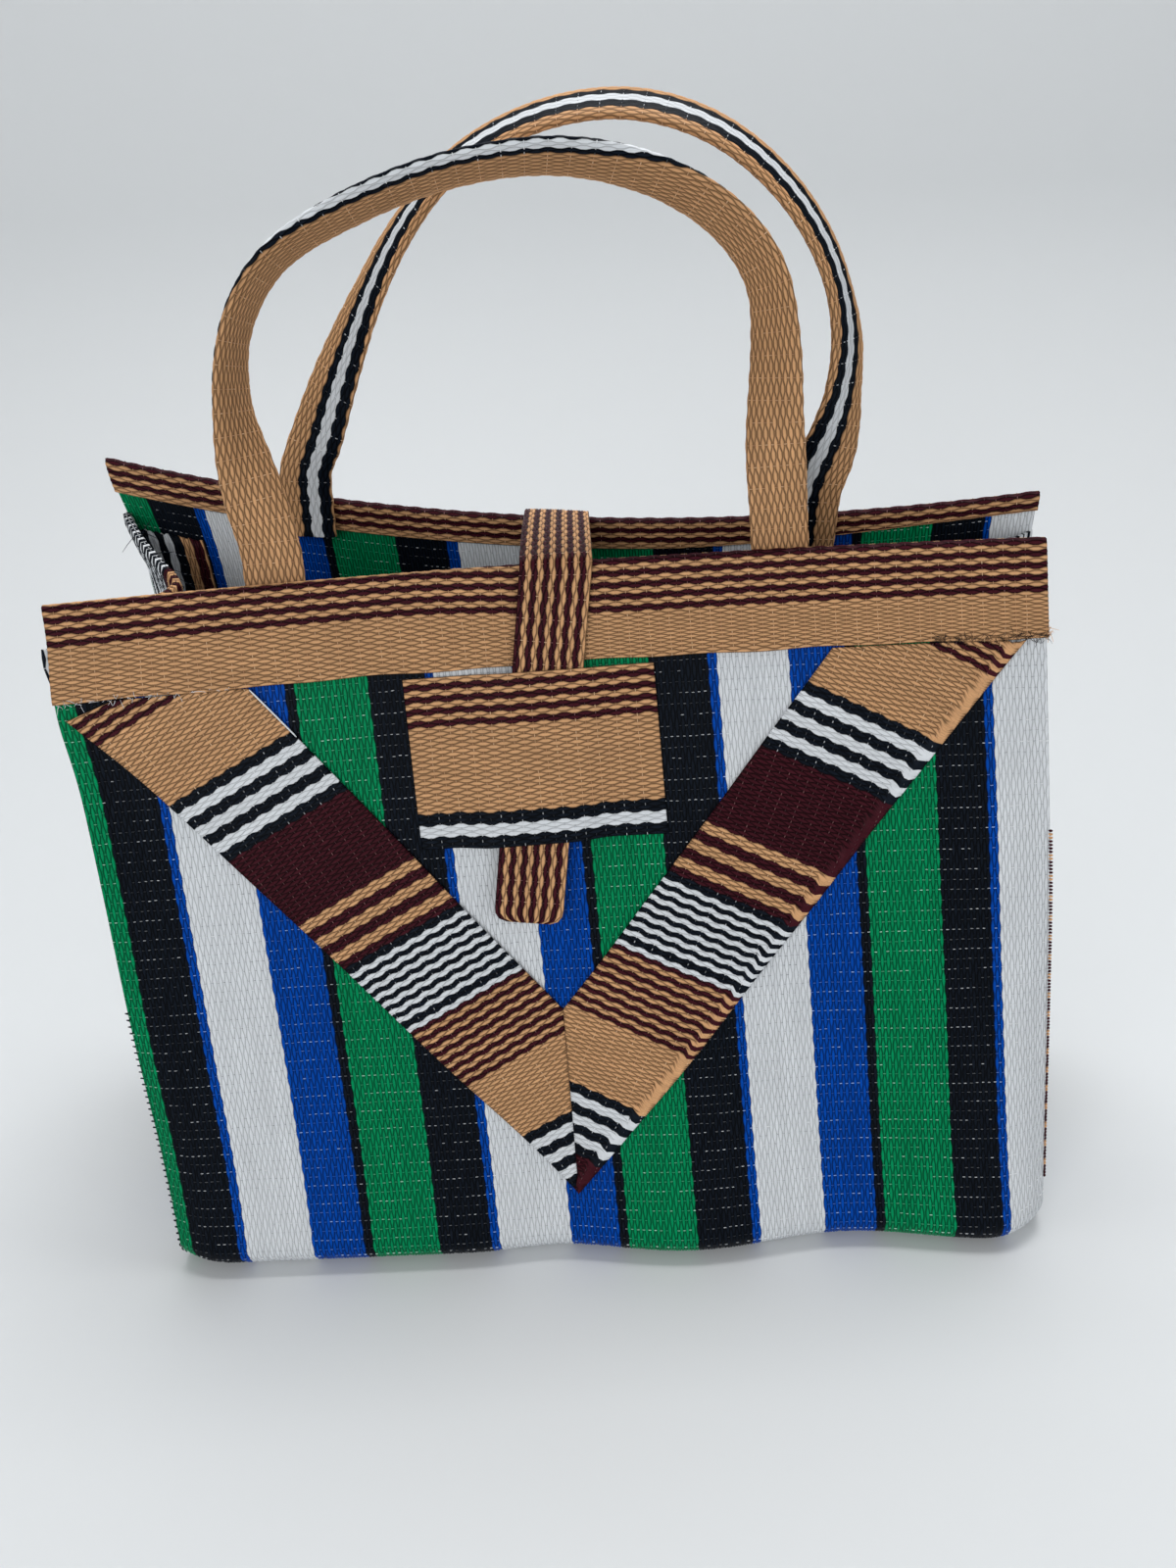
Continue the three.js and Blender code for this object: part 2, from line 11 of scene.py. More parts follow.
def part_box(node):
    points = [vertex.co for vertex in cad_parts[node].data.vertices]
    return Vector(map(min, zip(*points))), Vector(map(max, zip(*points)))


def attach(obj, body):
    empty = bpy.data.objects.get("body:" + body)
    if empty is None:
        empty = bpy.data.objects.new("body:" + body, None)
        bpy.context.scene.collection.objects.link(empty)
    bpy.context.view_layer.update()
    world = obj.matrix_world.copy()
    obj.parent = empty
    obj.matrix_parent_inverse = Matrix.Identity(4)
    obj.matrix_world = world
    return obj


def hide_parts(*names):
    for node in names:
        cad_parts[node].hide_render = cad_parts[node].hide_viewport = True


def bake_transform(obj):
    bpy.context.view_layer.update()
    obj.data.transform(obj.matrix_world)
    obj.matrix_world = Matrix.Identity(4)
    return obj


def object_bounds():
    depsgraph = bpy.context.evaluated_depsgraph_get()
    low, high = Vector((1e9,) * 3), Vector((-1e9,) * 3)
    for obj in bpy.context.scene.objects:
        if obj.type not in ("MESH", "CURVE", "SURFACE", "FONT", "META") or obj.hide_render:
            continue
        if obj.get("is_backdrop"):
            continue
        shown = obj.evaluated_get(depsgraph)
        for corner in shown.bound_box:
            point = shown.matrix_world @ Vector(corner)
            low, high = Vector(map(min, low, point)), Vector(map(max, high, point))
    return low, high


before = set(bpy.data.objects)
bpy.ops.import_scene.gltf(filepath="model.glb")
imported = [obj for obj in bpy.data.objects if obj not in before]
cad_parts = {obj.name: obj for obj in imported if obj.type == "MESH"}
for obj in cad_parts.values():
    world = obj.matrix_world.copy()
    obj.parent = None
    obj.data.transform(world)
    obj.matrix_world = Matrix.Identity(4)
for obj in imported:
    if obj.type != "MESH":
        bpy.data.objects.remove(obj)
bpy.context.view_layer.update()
MM = 0.001
RNG = np.random.default_rng(11)

# Walls, gussets and sheets, as in the part's source
SHEET, BINDING, TRIM, GAP = 1.5, 1.2, 1.0, 0.3
HALF_WIDTH, WALL_HEIGHT, HALF_DEPTH, FLOOR_LIFT = 178.0, 272.0, 72.0, 0.5
CORNER_RADIUS, CORNER_FADE = 36.0, 0.8
WAVE_LENGTH, WAVE_CREST, WAVE_STARTS, WAVE_GROWS = 124.0, 31.0, -70.0, 60.0
FRONT = dict(side=-1, left=(-187, -16, 264), middle=(-15, 8, 264), right=(158, 5, 267),
             turn_left=38, turn_right=16, belly=4, wave=3.4)
BACK = dict(side=1, left=(-193, 88, 286), middle=(-15, 66, 264), right=(172, 46, 272),
            turn_left=36, turn_right=36, belly=5, wave=0)
GUSSET_WIDTH, GUSSET_HEIGHT, GUSSET_SAG, GUSSET_BULGE = 150.0, 253.0, 4.0, 4.0
CREASE = {-1: 35.0, 1: 50.0}          # how far each side is folded in at the rim
CREASE_POWER, CREASE_RADIUS, CREASE_SOFT = 1.25, 4.0, (0.08, 0.4)
CREASE_PINCH, PINCH_BELOW, CREASE_BELOW = 1.25, 0.75, 10.0
HEM_RISE = {-1: 0.0, 1: 5.0}
BINDING_DROP, INNER_DROP, HEM_DROP = 33.5, 11.5, 15.0
STRAP_WIDTH, STRAP_THICK, STRAP_AT_RIM, STRAP_SLANT, STRAP_END = 25.5, 2.0, 2.0, 10.5, 142.0
STRAP_ROUNDING, ANCHOR_DROP, STRAP_ROOM, STRAP_BEND = 4.5, 42.0, 0.5, 2.0
STRAP_TAN = math.tan(math.radians(STRAP_SLANT))
STRAP_RISE = GAP + BINDING + STRAP_ROOM + STRAP_THICK / 2   # the strap's middle above the cloth's face
SLANTED_HALF = STRAP_WIDTH / 2 / math.cos(math.radians(STRAP_SLANT))
PATCH = dict(left=-58.0, right=34.5, low=174.5, high=236.4)
TUNNEL_ROOM, TUNNEL_RAMP = 1.2, 16.0
HANDLE_WIDTH, HANDLE_THICK, HINGE_HEIGHT, HANDLE_ENDS_AT = 22.0, 4.0, 284.0, 258.0
HANDLE_SEWN = HINGE_HEIGHT - HANDLE_ENDS_AT
# face: the side that the plain face is on. twist: degrees by share of the loop's length. line: across and up
# in the loop's plane, between the hinges. stripes: on the other face, in 100 parts. roll: how far the cloth
# is rolled round the band, and the shares of the length where that comes and goes.
FRONT_HANDLE = dict(
    wall=FRONT, legs=(-99.1, 85.3), lean=8, stand_off=1, face=-1,
    twist=[(0, 0), (.02, 0), (.07, 32), (.13, 66), (.19, 75), (.27, 75), (.36, 70), (.5, 70), (.8, 60),
           (.9, 38), (.98, 0), (1, 0)],
    line=[(-95, 30), (-96, 52), (-91, 74), (-77, 93), (-50, 107), (-15, 117), (20, 119), (52, 111), (74, 97),
          (86, 80), (89, 60), (89, 30)],
    stripes="T50 K20 W13 K10 T7", roll=(0.155, 0.2, 0.4, 0.56, 0.7))
BACK_HANDLE = dict(
    wall=BACK, legs=(-93.9, 97.8), lean=1, stand_off=.5, face=1,
    twist=[(0, 0), (.05, 12), (.1, 25), (.15, 38), (.2, 50), (.3, 62), (.5, 66), (.8, 66), (.9, 48), (.98, 0),
           (1, 0)],
    line=[(-94, 12), (-89, 24), (-83, 38), (-70, 64), (-55, 88), (-34, 110), (-5, 124), (26, 128), (55, 121),
          (80, 104), (97, 82), (106, 57), (107, 38), (105, 19)],
    stripes="T3 K24 W17 K14 T42", roll=(0.08, 0.12, 0.36, 0.8, 0.97))
COURSE_STEP, STRAP_BOW = 0.5, 1.1     # between the points of a band's middle line, and the strap's bow
BASE_INSET, BASE_CORNER = SHEET / 2 + GAP + 0.9, 4.0

# Soft forms that the part's plain walls don't have
UNEVEN = 0.6                      # slow hollows and swellings of the walls
FOOT_IN, FOOT_HIGH = 11.0, 14.0   # the walls turn in at the foot
FOOT_OUT, FOOT_BULGE = 6.5, 70.0  # and belly out above it
EDGE_BULGE, EDGE_PULL = 3.0, 4.5  # the left edges below the bands: out at the front wall, in at the back wall

# The weave
PITCH = 1.15                # one straw
TIE = 7.7                   # from tie to tie along a straw
ZIGZAG = 0.30               # share of a straw's width that its edges wander
WALL_ZIGZAG = 0.15          # the walls and gussets are pulled straighter
RELIEF = 0.42               # from the valley between two straws to a crest
THIN, SWELL = 0.42, 0.58    # a crest's share of the relief where the straw is thin, and what it gains
FLAT = 0.12                 # share of the tie distance, each side of a tie, where a straw keeps its width
DASH_LONG, DASH_WIDE, DASH_SKIPPED = 1.12, 0.36, 0.1   # tie threads: length in straws, width, share left out
HANDLE_TIE = 7.4            # from tie to tie on the handles
CUT_LIFT, CUT_MARGIN = 0.4, 0.6   # of the relief past a cut edge, and the ties' distance from it
HIDDEN_LIFT = 0.8           # of the relief, on a face with few points
CHART_MARGIN, EDGE_MARGIN = 0.02, 0.006   # in the maps
WELD = 2e-6                 # metres, joins the points of straws that are cut off
# a small face's corners in its own cell of the map, and a tie thread's points as (along, across, up)
CELL_CORNERS = {3: [(0.1, 0.1), (0.9, 0.1), (0.5, 0.9)], 4: [(0.1, 0.1), (0.9, 0.1), (0.9, 0.9), (0.1, 0.9)]}
DASH_SHAPE = [(-1, 0, -0.1), (-0.55, -1, 0), (-0.55, 1, 0), (-0.55, 0, 1), (0.55, -1, 0), (0.55, 1, 0),
              (0.55, 0, 1), (1, 0, -0.1)]
DASH_FACES = [(0, 3, 2), (0, 1, 3), (0, 2, 1), (7, 5, 6), (7, 6, 4), (7, 4, 5), (3, 6, 5, 2), (1, 4, 6, 3),
              (1, 2, 5, 4)]


def unit(v):
    return v / np.linalg.norm(v, axis=-1, keepdims=True)


def smoothstep(x, a, b):
    t = np.clip((x - a) / (b - a), 0, 1)
    return t * t * (3 - 2 * t)


def dot(a, b):
    return np.sum(a * b, axis=-1)


def fit(*values):
    """Arrays of one shape."""
    return np.broadcast_arrays(*(np.asarray(v, float) for v in values))


def metres(p):
    """A point of the wall frame in the scene."""
    return tuple((p + SHIFT) * MM)


def put(name, data):
    obj = bpy.data.objects.new(name, data)
    bpy.context.scene.collection.objects.link(obj)
    return obj


# ---- surfaces of the bag: a or d across, h up, out from the cloth's middle
def low_down(h, high):
    """1 at the foot, fading to 0 where h reaches high."""
    return np.clip(1 - h / high, 0, 1) ** 2


def wall_point(w, a, h, plain=False):
    """The middle of a wall's cloth. Plain is the part's own wall."""
    a, h = fit(a, h)
    up, t = h / WALL_HEIGHT, a / HALF_WIDTH
    left, middle, right = (np.array(w[k], float) for k in ("left", "middle", "right"))
    rim = middle + t[..., None] * (right - left) / 2 + (t ** 2)[..., None] * ((right + left) / 2 - middle)
    foot = np.stack([a, np.full(a.shape, w["side"] * HALF_DEPTH), np.full(a.shape, FLOOR_LIFT)], -1)
    p = foot + (rim - foot) * up[..., None]
    low = np.clip(1 - up, 0, 1)
    turn = np.radians(np.where(a < 0, w["turn_left"], w["turn_right"])) * np.maximum(0, 1 - up / CORNER_FADE)
    past = np.maximum(0, np.abs(a) - (HALF_WIDTH - CORNER_RADIUS * turn))
    angle = past / CORNER_RADIUS
    p[..., 0] += np.sign(a) * (CORNER_RADIUS * np.sin(angle) - past)
    p[..., 1] -= w["side"] * CORNER_RADIUS * (1 - np.cos(angle))
    full = smoothstep(a, WAVE_STARTS, WAVE_STARTS + WAVE_GROWS)
    ripple = w["wave"] * np.cos(2 * math.pi * (a - WAVE_CREST) / WAVE_LENGTH)
    p[..., 1] += w["side"] * ripple * full * low ** 3
    arch = np.sin(math.pi * np.clip(up, 0, 1))
    p[..., 1] += w["side"] * w["belly"] * arch * (1 - 0.7 * t * t)
    if plain:
        return p
    p[..., 1] += w["side"] * UNEVEN * (np.sin(a / 15.5 + 1 + h / 61) * np.sin(h / 23 + 0.6) * arch)
    p[..., 1] -= w["side"] * (FOOT_IN * low_down(h, FOOT_HIGH) - FOOT_OUT * low_down(h, FOOT_BULGE))
    if w is FRONT:
        p[..., 0] -= EDGE_BULGE * np.exp(-((h - 236) / 20) ** 2) * smoothstep(-a, 100, 178)
    else:
        p[..., 0] += EDGE_PULL * smoothstep(h, 270, 236) * smoothstep(h, 40, 150) * smoothstep(-a, 110, 178)
    return p


def wall_normal(w, a, h, plain=False):
    e = 0.5
    across = wall_point(w, a + e, h, plain) - wall_point(w, a - e, h, plain)
    up = wall_point(w, a, h + e, plain) - wall_point(w, a, h - e, plain)
    return -w["side"] * unit(np.cross(across, up))


def on_wall(w, a, h, out, plain=False):
    a, h, out = fit(a, h, out)
    return wall_point(w, a, h, plain) + wall_normal(w, a, h, plain) * out[..., None]


def gusset_point(hand, d, h):
    """The middle of a gusset's cloth, d from 0 at the front wall to 1 at the back wall."""
    d, h = fit(d, h)
    front, back = wall_point(FRONT, hand * HALF_WIDTH, h), wall_point(BACK, hand * HALF_WIDTH, h)
    up = np.clip(h / WALL_HEIGHT, 0, 1)
    fold = CREASE[hand] * up ** CREASE_POWER
    fold = fold + CREASE_BELOW * smoothstep(h, GUSSET_HEIGHT, GUSSET_HEIGHT - 35) * up ** 3
    span = np.linalg.norm(front - back, axis=-1)
    soft = np.clip(4 * fold * CREASE_RADIUS / span ** 2, *CREASE_SOFT)
    end = np.hypot(1, soft)
    pinch = PINCH_BELOW + (CREASE_PINCH - PINCH_BELOW) * smoothstep(h, GUSSET_HEIGHT - 30, GUSSET_HEIGHT)
    tent = np.clip((end - np.hypot(2 * d - 1, soft)) / (end - soft), 0, None) ** pinch
    arch = np.sin(math.pi * np.clip(d, 0, 1))
    p = front + (back - front) * d[..., None]
    p[..., 2] += HEM_RISE[hand] * smoothstep(h, 150, GUSSET_HEIGHT) * smoothstep(d, 0.5, 0.85)
    p[..., 2] -= GUSSET_SAG * arch * up ** 4
    p[..., 0] -= hand * FOOT_IN * 0.5 * low_down(h, FOOT_HIGH) * arch
    p[..., 0] += hand * (GUSSET_BULGE * np.sin(math.pi * d) * (1 - up) * up * 2 - fold * tent)
    return p


def on_gusset(hand, d, h, out):
    d, h, out = fit(d, h, out)
    s, e = 0.004, 0.5
    along = gusset_point(hand, d + s, h) - gusset_point(hand, d - s, h)
    up = gusset_point(hand, d, h + e) - gusset_point(hand, d, h - e)
    return gusset_point(hand, d, h) + hand * unit(np.cross(along, up)) * out[..., None]


def frame_shift():
    """From the wall frame to the CAD frame, by the base panel's middle."""
    a = np.linspace(BASE_CORNER - HALF_WIDTH, HALF_WIDTH - BASE_CORNER, 33)
    pts = np.concatenate([on_wall(w, a, 0, -BASE_INSET, plain=True) for w in (FRONT, BACK)])
    mine = (pts.min(0) + pts.max(0)) / 2
    low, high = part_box("base_panel")
    there = (np.array(low) + np.array(high)) / 2 / MM
    return np.array([there[0] - mine[0], there[1] - mine[1], 0])


SHIFT = frame_shift()
# the soft cloth stands a little off the part's plain walls
FRONT.update(turn_right=50, right=(160.5, 5, 267))
BACK.update(left=(-194.5, 88, 289))

# ---- camera and light
PITCH_DOWN, ROLL = math.radians(29), math.radians(-2.3)
CAMERA_AT = (-4.577, -397.274, 399.084)
ahead = np.array([0, math.cos(PITCH_DOWN), -math.sin(PITCH_DOWN)])
level = np.array([1.0, 0, 0])
above = np.cross(level, ahead)
cam_x = math.cos(ROLL) * level + math.sin(ROLL) * above
cam_y = math.cos(ROLL) * above - math.sin(ROLL) * level
lens = bpy.data.cameras.new("camera")
lens.lens, lens.sensor_width, lens.sensor_fit = 27, 36, "AUTO"
lens.clip_start, lens.clip_end = 0.01, 20
camera = put("camera", lens)
turned_to = np.stack([cam_x, cam_y, -ahead], 1)
camera.matrix_world = Matrix([[*row, p] for row, p in zip(turned_to, metres(CAMERA_AT))] + [[0, 0, 0, 1]])
bpy.context.scene.camera = camera
bpy.context.scene.view_settings.view_transform = "Standard"


def lamp(name, at, look, size, power):
    data = bpy.data.lights.new(name, "AREA")
    data.shape, data.size, data.energy = "SQUARE", size, power
    obj = put(name, data)
    obj.location = at
    obj.rotation_euler = (Vector(look) - Vector(at)).to_track_quat("-Z", "Y").to_euler()


lamp("top", (0.1, 0.75, 1.65), (0, 0.0, 0), 1.3, 46)
lamp("key", (-0.6, -1.35, 0.72), (0, 0, 0.15), 1.0, 9.2)
lamp("fill", (1.0, -1.2, 0.6), (0, 0, 0.15), 1.1, 4.0)
world = bpy.data.worlds.new("room")
bpy.context.scene.world = world
world.use_nodes = True
room = world.node_tree
glow, seen = room.nodes["Background"], room.nodes.new("ShaderNodeBackground")
glow.inputs["Color"].default_value = (0.96, 0.98, 1.0, 1)
glow.inputs["Strength"].default_value = 0.36
seen.inputs["Color"].default_value = (0.62, 0.64, 0.65, 1)  # what the camera sees past the floor's edge
path, either = room.nodes.new("ShaderNodeLightPath"), room.nodes.new("ShaderNodeMixShader")
for output, socket in ((path.outputs["Is Camera Ray"], either.inputs[0]), (glow.outputs[0], either.inputs[1]),
                       (seen.outputs[0], either.inputs[2]),
                       (either.outputs[0], room.nodes["World Output"].inputs["Surface"])):
    room.links.new(output, socket)


# ---- materials
class Nodes:
    """Short hands for a material's node tree."""

    def __init__(self, name):
        self.mat = bpy.data.materials.new(name)
        self.mat.use_nodes = True
        self.tree = self.mat.node_tree
        self.bsdf = self.tree.nodes["Principled BSDF"]

    def set(self, node, values):
        """Numbers and colours go on the sockets, anything else is linked to them."""
        for key, value in values.items():
            if isinstance(value, (int, float, tuple)):
                node.inputs[key].default_value = value
            else:
                self.tree.links.new(value, node.inputs[key])

    def add(self, kind, output, values, **settings):
        node = self.tree.nodes.new(kind)
        for key, value in settings.items():
            setattr(node, key, value)
        self.set(node, values)
        return node.outputs[output]

    def attribute(self, name):
        return self.add("ShaderNodeAttribute", "Fac", {}, attribute_name=name)

    def math(self, op, a, b):
        return self.add("ShaderNodeMath", 0, {0: a, 1: b}, operation=op)

    def spread(self, value, a, b, c, d, kind="LINEAR"):
        """From a..b to c..d."""
        return self.add("ShaderNodeMapRange", "Result", {"Value": value, "From Min": a, "From Max": b,
                                                         "To Min": c, "To Max": d}, interpolation_type=kind)

    def noise(self, straw, stretch, scale, detail, rough=0.5):
        vector = self.add("ShaderNodeMapping", 0, {"Scale": stretch, "Vector": straw})
        return self.add("ShaderNodeTexNoise", "Fac", {"Scale": scale, "Detail": float(detail),
                                                      "Roughness": rough, "Vector": vector})

    def mix(self, factor, a, b):
        return self.add("ShaderNodeMix", 2, {0: factor, 6: a, 7: b}, data_type="RGBA")


def srgb(hexa):
    c = [int(hexa[i:i + 2], 16) / 255 for i in (0, 2, 4)]
    return tuple(x / 12.92 if x <= 0.04045 else ((x + 0.055) / 1.055) ** 2.4 for x in c) + (1.0,)


def straw_material(name, colour, valley, light, rough, crest_at=0.65):
    """Plastic straw: its own tone, fine streaks along it, painted shade between the straws and where they
    narrow at the ties, a satin shine.
    """
    n = Nodes(name)
    colour = srgb(colour)
    straw = n.add("ShaderNodeUVMap", 0, {}, uv_map="Straw")
    streak = n.noise(straw, (7, 0.9, 1), 1.0, 3, 0.6)
    patch = n.noise(straw, (0.12, 0.25, 1), 1.0, 2)
    relief, tone = n.attribute("relief"), n.attribute("tone")
    # dark: the straw's colour in painted shade, also mixed in as the darker tone of the streaks and patches
    dark = tuple(c * valley for c in colour[:3]) + (1.0,)
    pale = tuple(min(1, c * (1 + light)) for c in colour[:3]) + (1.0,)
    crest = n.mix(n.math("MULTIPLY", tone, 0.8), colour, pale)
    crest = n.mix(n.spread(streak, 0.35, 0.75, 0, 0.35), crest, dark)
    crest = n.mix(n.spread(patch, 0.35, 0.7, 0, 0.16), crest, dark)
    # painted shade by the relief: dark in the valleys between straws and on their thin parts at the ties,
    # full colour from crest_at up
    base = n.mix(n.spread(relief, 0.0, crest_at, 0, 1, "SMOOTHSTEP"), dark, crest)
    shine = n.spread(streak, 0.3, 0.8, rough - 0.08, rough + 0.14)
    fine = n.noise(straw, (5, 1.5, 1), 2.0, 3, 0.65)
    height = n.math("ADD", n.math("MULTIPLY", streak, 0.6), n.math("MULTIPLY", fine, 0.6))
    bump = n.add("ShaderNodeBump", 0, {"Strength": 0.35, "Distance": 0.00025, "Height": height})
    n.set(n.bsdf, {"Base Color": base, "Roughness": shine, "Specular IOR Level": 0.04, "Normal": bump})
    return n.mat


# each colour: name, colour, how dark its painted shade and streaks go, how much paler a straw may be at
# random, roughness, and the relief from which no shade is painted
COLOURS = {key: straw_material(*values) for key, values in {
    "G": ("green_straw", "008d58", 0.20, 0.25, 0.36),
    "K": ("black_straw", "10161f", 0.15, 0.60, 0.34),
    "W": ("white_straw", "dadee2", 0.58, 0.12, 0.42, 0.45),
    "B": ("blue_straw", "0049ae", 0.22, 0.25, 0.36),
    "T": ("tan_straw", "d7a577", 0.21, 0.16, 0.38, 0.72),
    "M": ("maroon_straw", "40161f", 0.10, 0.30, 0.34),
}.items()}
KEYS = list(COLOURS)
MATERIALS = list(COLOURS.values())


def thread_material(name, colour, dark):
    """Clear tie thread: it takes on the straw's colour. A random tone per thread mixes its dark colour with
    its pale one; the pale one is a painted glint, here and there.
    """
    n = Nodes(name)
    tone = n.spread(n.attribute("tone"), 0.1, 0.9, 0, 1)
    n.set(n.bsdf, {"Base Color": n.mix(tone, srgb(dark), srgb(colour)), "Roughness": 0.3,
                   "Specular IOR Level": 0.35})
    return n.mat


# each thread: its pale colour, a painted glint, and its dark one, the thread over its straw; on tan and white
# straws the dark one is painted shade in the pinch
THREADS = [thread_material("thread_on_" + name + "_straw", colour, dark) for name, colour, dark in (
    ("green", "c4f2dc", "0f9a68"), ("black", "d4d8dc", "23272e"), ("white", "f0f2f4", "c4c8cc"),
    ("blue", "b0ccff", "2058b4"), ("tan", "e6c29a", "b0845e"), ("maroon", "865a5a", "3e1c22"))]


def by_width(text, start):
    """A colour for each place, from words like K4.3 (a colour and its width), the first of them at start."""
    words = text.split()
    codes = np.array([KEYS.index(word[0]) for word in words])
    edges = start + np.cumsum([float(word[1:]) for word in words])
    return lambda u: codes[np.clip(np.searchsorted(edges, u), 0, len(codes) - 1)]


def by_count(text, start, pitch):
    """A colour for each straw, from words like K4 (a colour and its straws)."""
    codes = np.array([KEYS.index(word[0]) for word in text.split() for _ in range(int(word[1:]))])
    return lambda u: codes[np.clip(np.floor((u - start) / pitch + 1e-6).astype(int), 0, len(codes) - 1)]


WALL_COLOURS = {
    -1: by_width("G7.2 K19.8 B3 W27 B20.2 K3.8 G26.3 K21.2 B3.5 W28 B19.5 K3.5 G27.8 K21.7 B3.3 W27 B20.5"
                 " K3.9 G27.3 K18 B3 W21", -HALF_WIDTH),
    1: by_width("G12 K19.5 B4 W25.5 B22.8 K4.2 G26 K21 B4 W27.5 B19.5 K3.5 G27.5 K22 B3.5 W26.5 B22 K3.7"
                " G25.6 K17.9 B2.4 W16", -HALF_WIDTH),
}
GUSSET_COLOURS = {hand: by_width(first + " B20 K4 G14 " + "M3 T3 " * 7 + "K2 W2 " * 10 + "K9", 0)
                  for hand, first in ((-1, "M2.3 T2.3 M2.3 W22"), (1, "W28.9"))}


# ---- meshes
def outline_uv(edge, n_out, uv):
    """The closed edge's faces lie in the margin round the outer chart."""
    inside = edge >= n_out
    near = uv[np.minimum(edge, n_out - 1)][np.arange(len(edge)), np.argmax(~inside, axis=1)]
    push = near + np.sign(near - uv[:n_out].mean(0)) * EDGE_MARGIN
    return np.where(inside[..., None], push[:, None], uv[edge])


def small_pieces(name, pts, cells, code, tone, materials):
    """One mesh of many like pieces. Each face has its own cell in the map."""
    n, m = pts.shape[:2]
    loops = (np.arange(n)[:, None] * m + np.concatenate(cells)).ravel()
    sizes = np.tile([len(c) for c in cells], n)
    side = math.ceil(math.sqrt(len(sizes)))
    local = np.concatenate([CELL_CORNERS[len(c)] for c in cells])
    face = np.repeat(np.arange(len(sizes)), sizes)
    uv = (np.stack([face % side, face // side], -1) + np.tile(local, (n, 1))) / side
    return raw_mesh(name, pts.reshape(-1, 3), loops, sizes, np.repeat(code, len(cells)),
                    np.repeat(tone, len(cells)), np.ones(n * m), uv, uv * 3, materials=materials)


def raw_mesh(name, verts, loops, sizes, colour, tone, relief, uv, st, weld=False, materials=None):
    """A mesh from its points, corners and face sizes, with two maps: OFBake (uv) and Straw (st)."""
    me = bpy.data.meshes.new(name)
    me.vertices.add(len(verts))
    me.vertices.foreach_set("co", ((verts + SHIFT) * MM).astype(np.float32).ravel())
    me.loops.add(len(loops))
    me.loops.foreach_set("vertex_index", loops.astype(np.int32))
    me.polygons.add(len(sizes))
    me.polygons.foreach_set("loop_start", np.r_[0, np.cumsum(sizes)[:-1]].astype(np.int32))
    me.polygons.foreach_set("material_index", colour.astype(np.int32))
    me.polygons.foreach_set("use_smooth", np.ones(len(sizes), bool))
    for layer, data in (("OFBake", uv), ("Straw", st)):
        me.uv_layers.new(name=layer).data.foreach_set("uv", data.astype(np.float32).ravel())
    # relief, the height from the valleys to the crests, is also where the straws' material paints shade
    for key, domain, data in (("relief", "POINT", relief), ("tone", "FACE", tone)):
        me.attributes.new(key, "FLOAT", domain).data.foreach_set("value", data.astype(np.float32))
    me.update(calc_edges=True)
    me.validate()
    if weld:
        bm = bmesh.new()
        bm.from_mesh(me)
        bmesh.ops.remove_doubles(bm, verts=bm.verts, dist=WELD)
        bm.to_mesh(me)
        bm.free()
    for mat in materials or MATERIALS:
        me.materials.append(mat)
    turn_out(me)
    return put(name, me)


def turn_out(me):
    """Turns the faces outwards, by the sign of the volume."""
    me.calc_loop_triangles()
    tri = np.zeros(len(me.loop_triangles) * 3, np.int32)
    me.loop_triangles.foreach_get("vertices", tri)
    co = np.zeros(len(me.vertices) * 3, np.float32)
    me.vertices.foreach_get("co", co)
    p = co.reshape(-1, 3).astype(float)
    a, b, c = (p - p.mean(0))[tri.reshape(-1, 3)].transpose(1, 0, 2)
    if np.sum(dot(a, np.cross(b, c))) < 0:
        me.flip_normals()


# ---- woven sheets
def tie_steps(ties):
    """Rows along the straws, in ties, and which way the straws' edges lean there."""
    inner = (np.arange(ties)[:, None] + np.array([FLAT, 0.5 - FLAT, 0.5 + FLAT, 1 - FLAT])).ravel()
    return np.r_[[0.0], inner, [ties]], np.r_[[1.0], np.tile([1.0, -1.0, -1.0, 1.0], ties), [1.0]]


def straw_columns(count):
    """Two columns to a straw: how the edge there leans, which are crests, and the straw's side."""
    column = np.arange(count)
    lean = np.where(column % 4 == 0, 1.0, -1.0) * (column % 2 == 0)
    return lean, column % 2 == 1, np.where(column // 2 % 2 == 0, -1.0, 1.0)


def straw_lift(crest, side, tri):
    """How high the surface stands: 0 between two straws, and most on a crest where the straw is wide. The
    straws' material paints shade by it.
    """
    return np.where(crest, THIN + SWELL * ((1 + side * tri) / 2), 0.0)


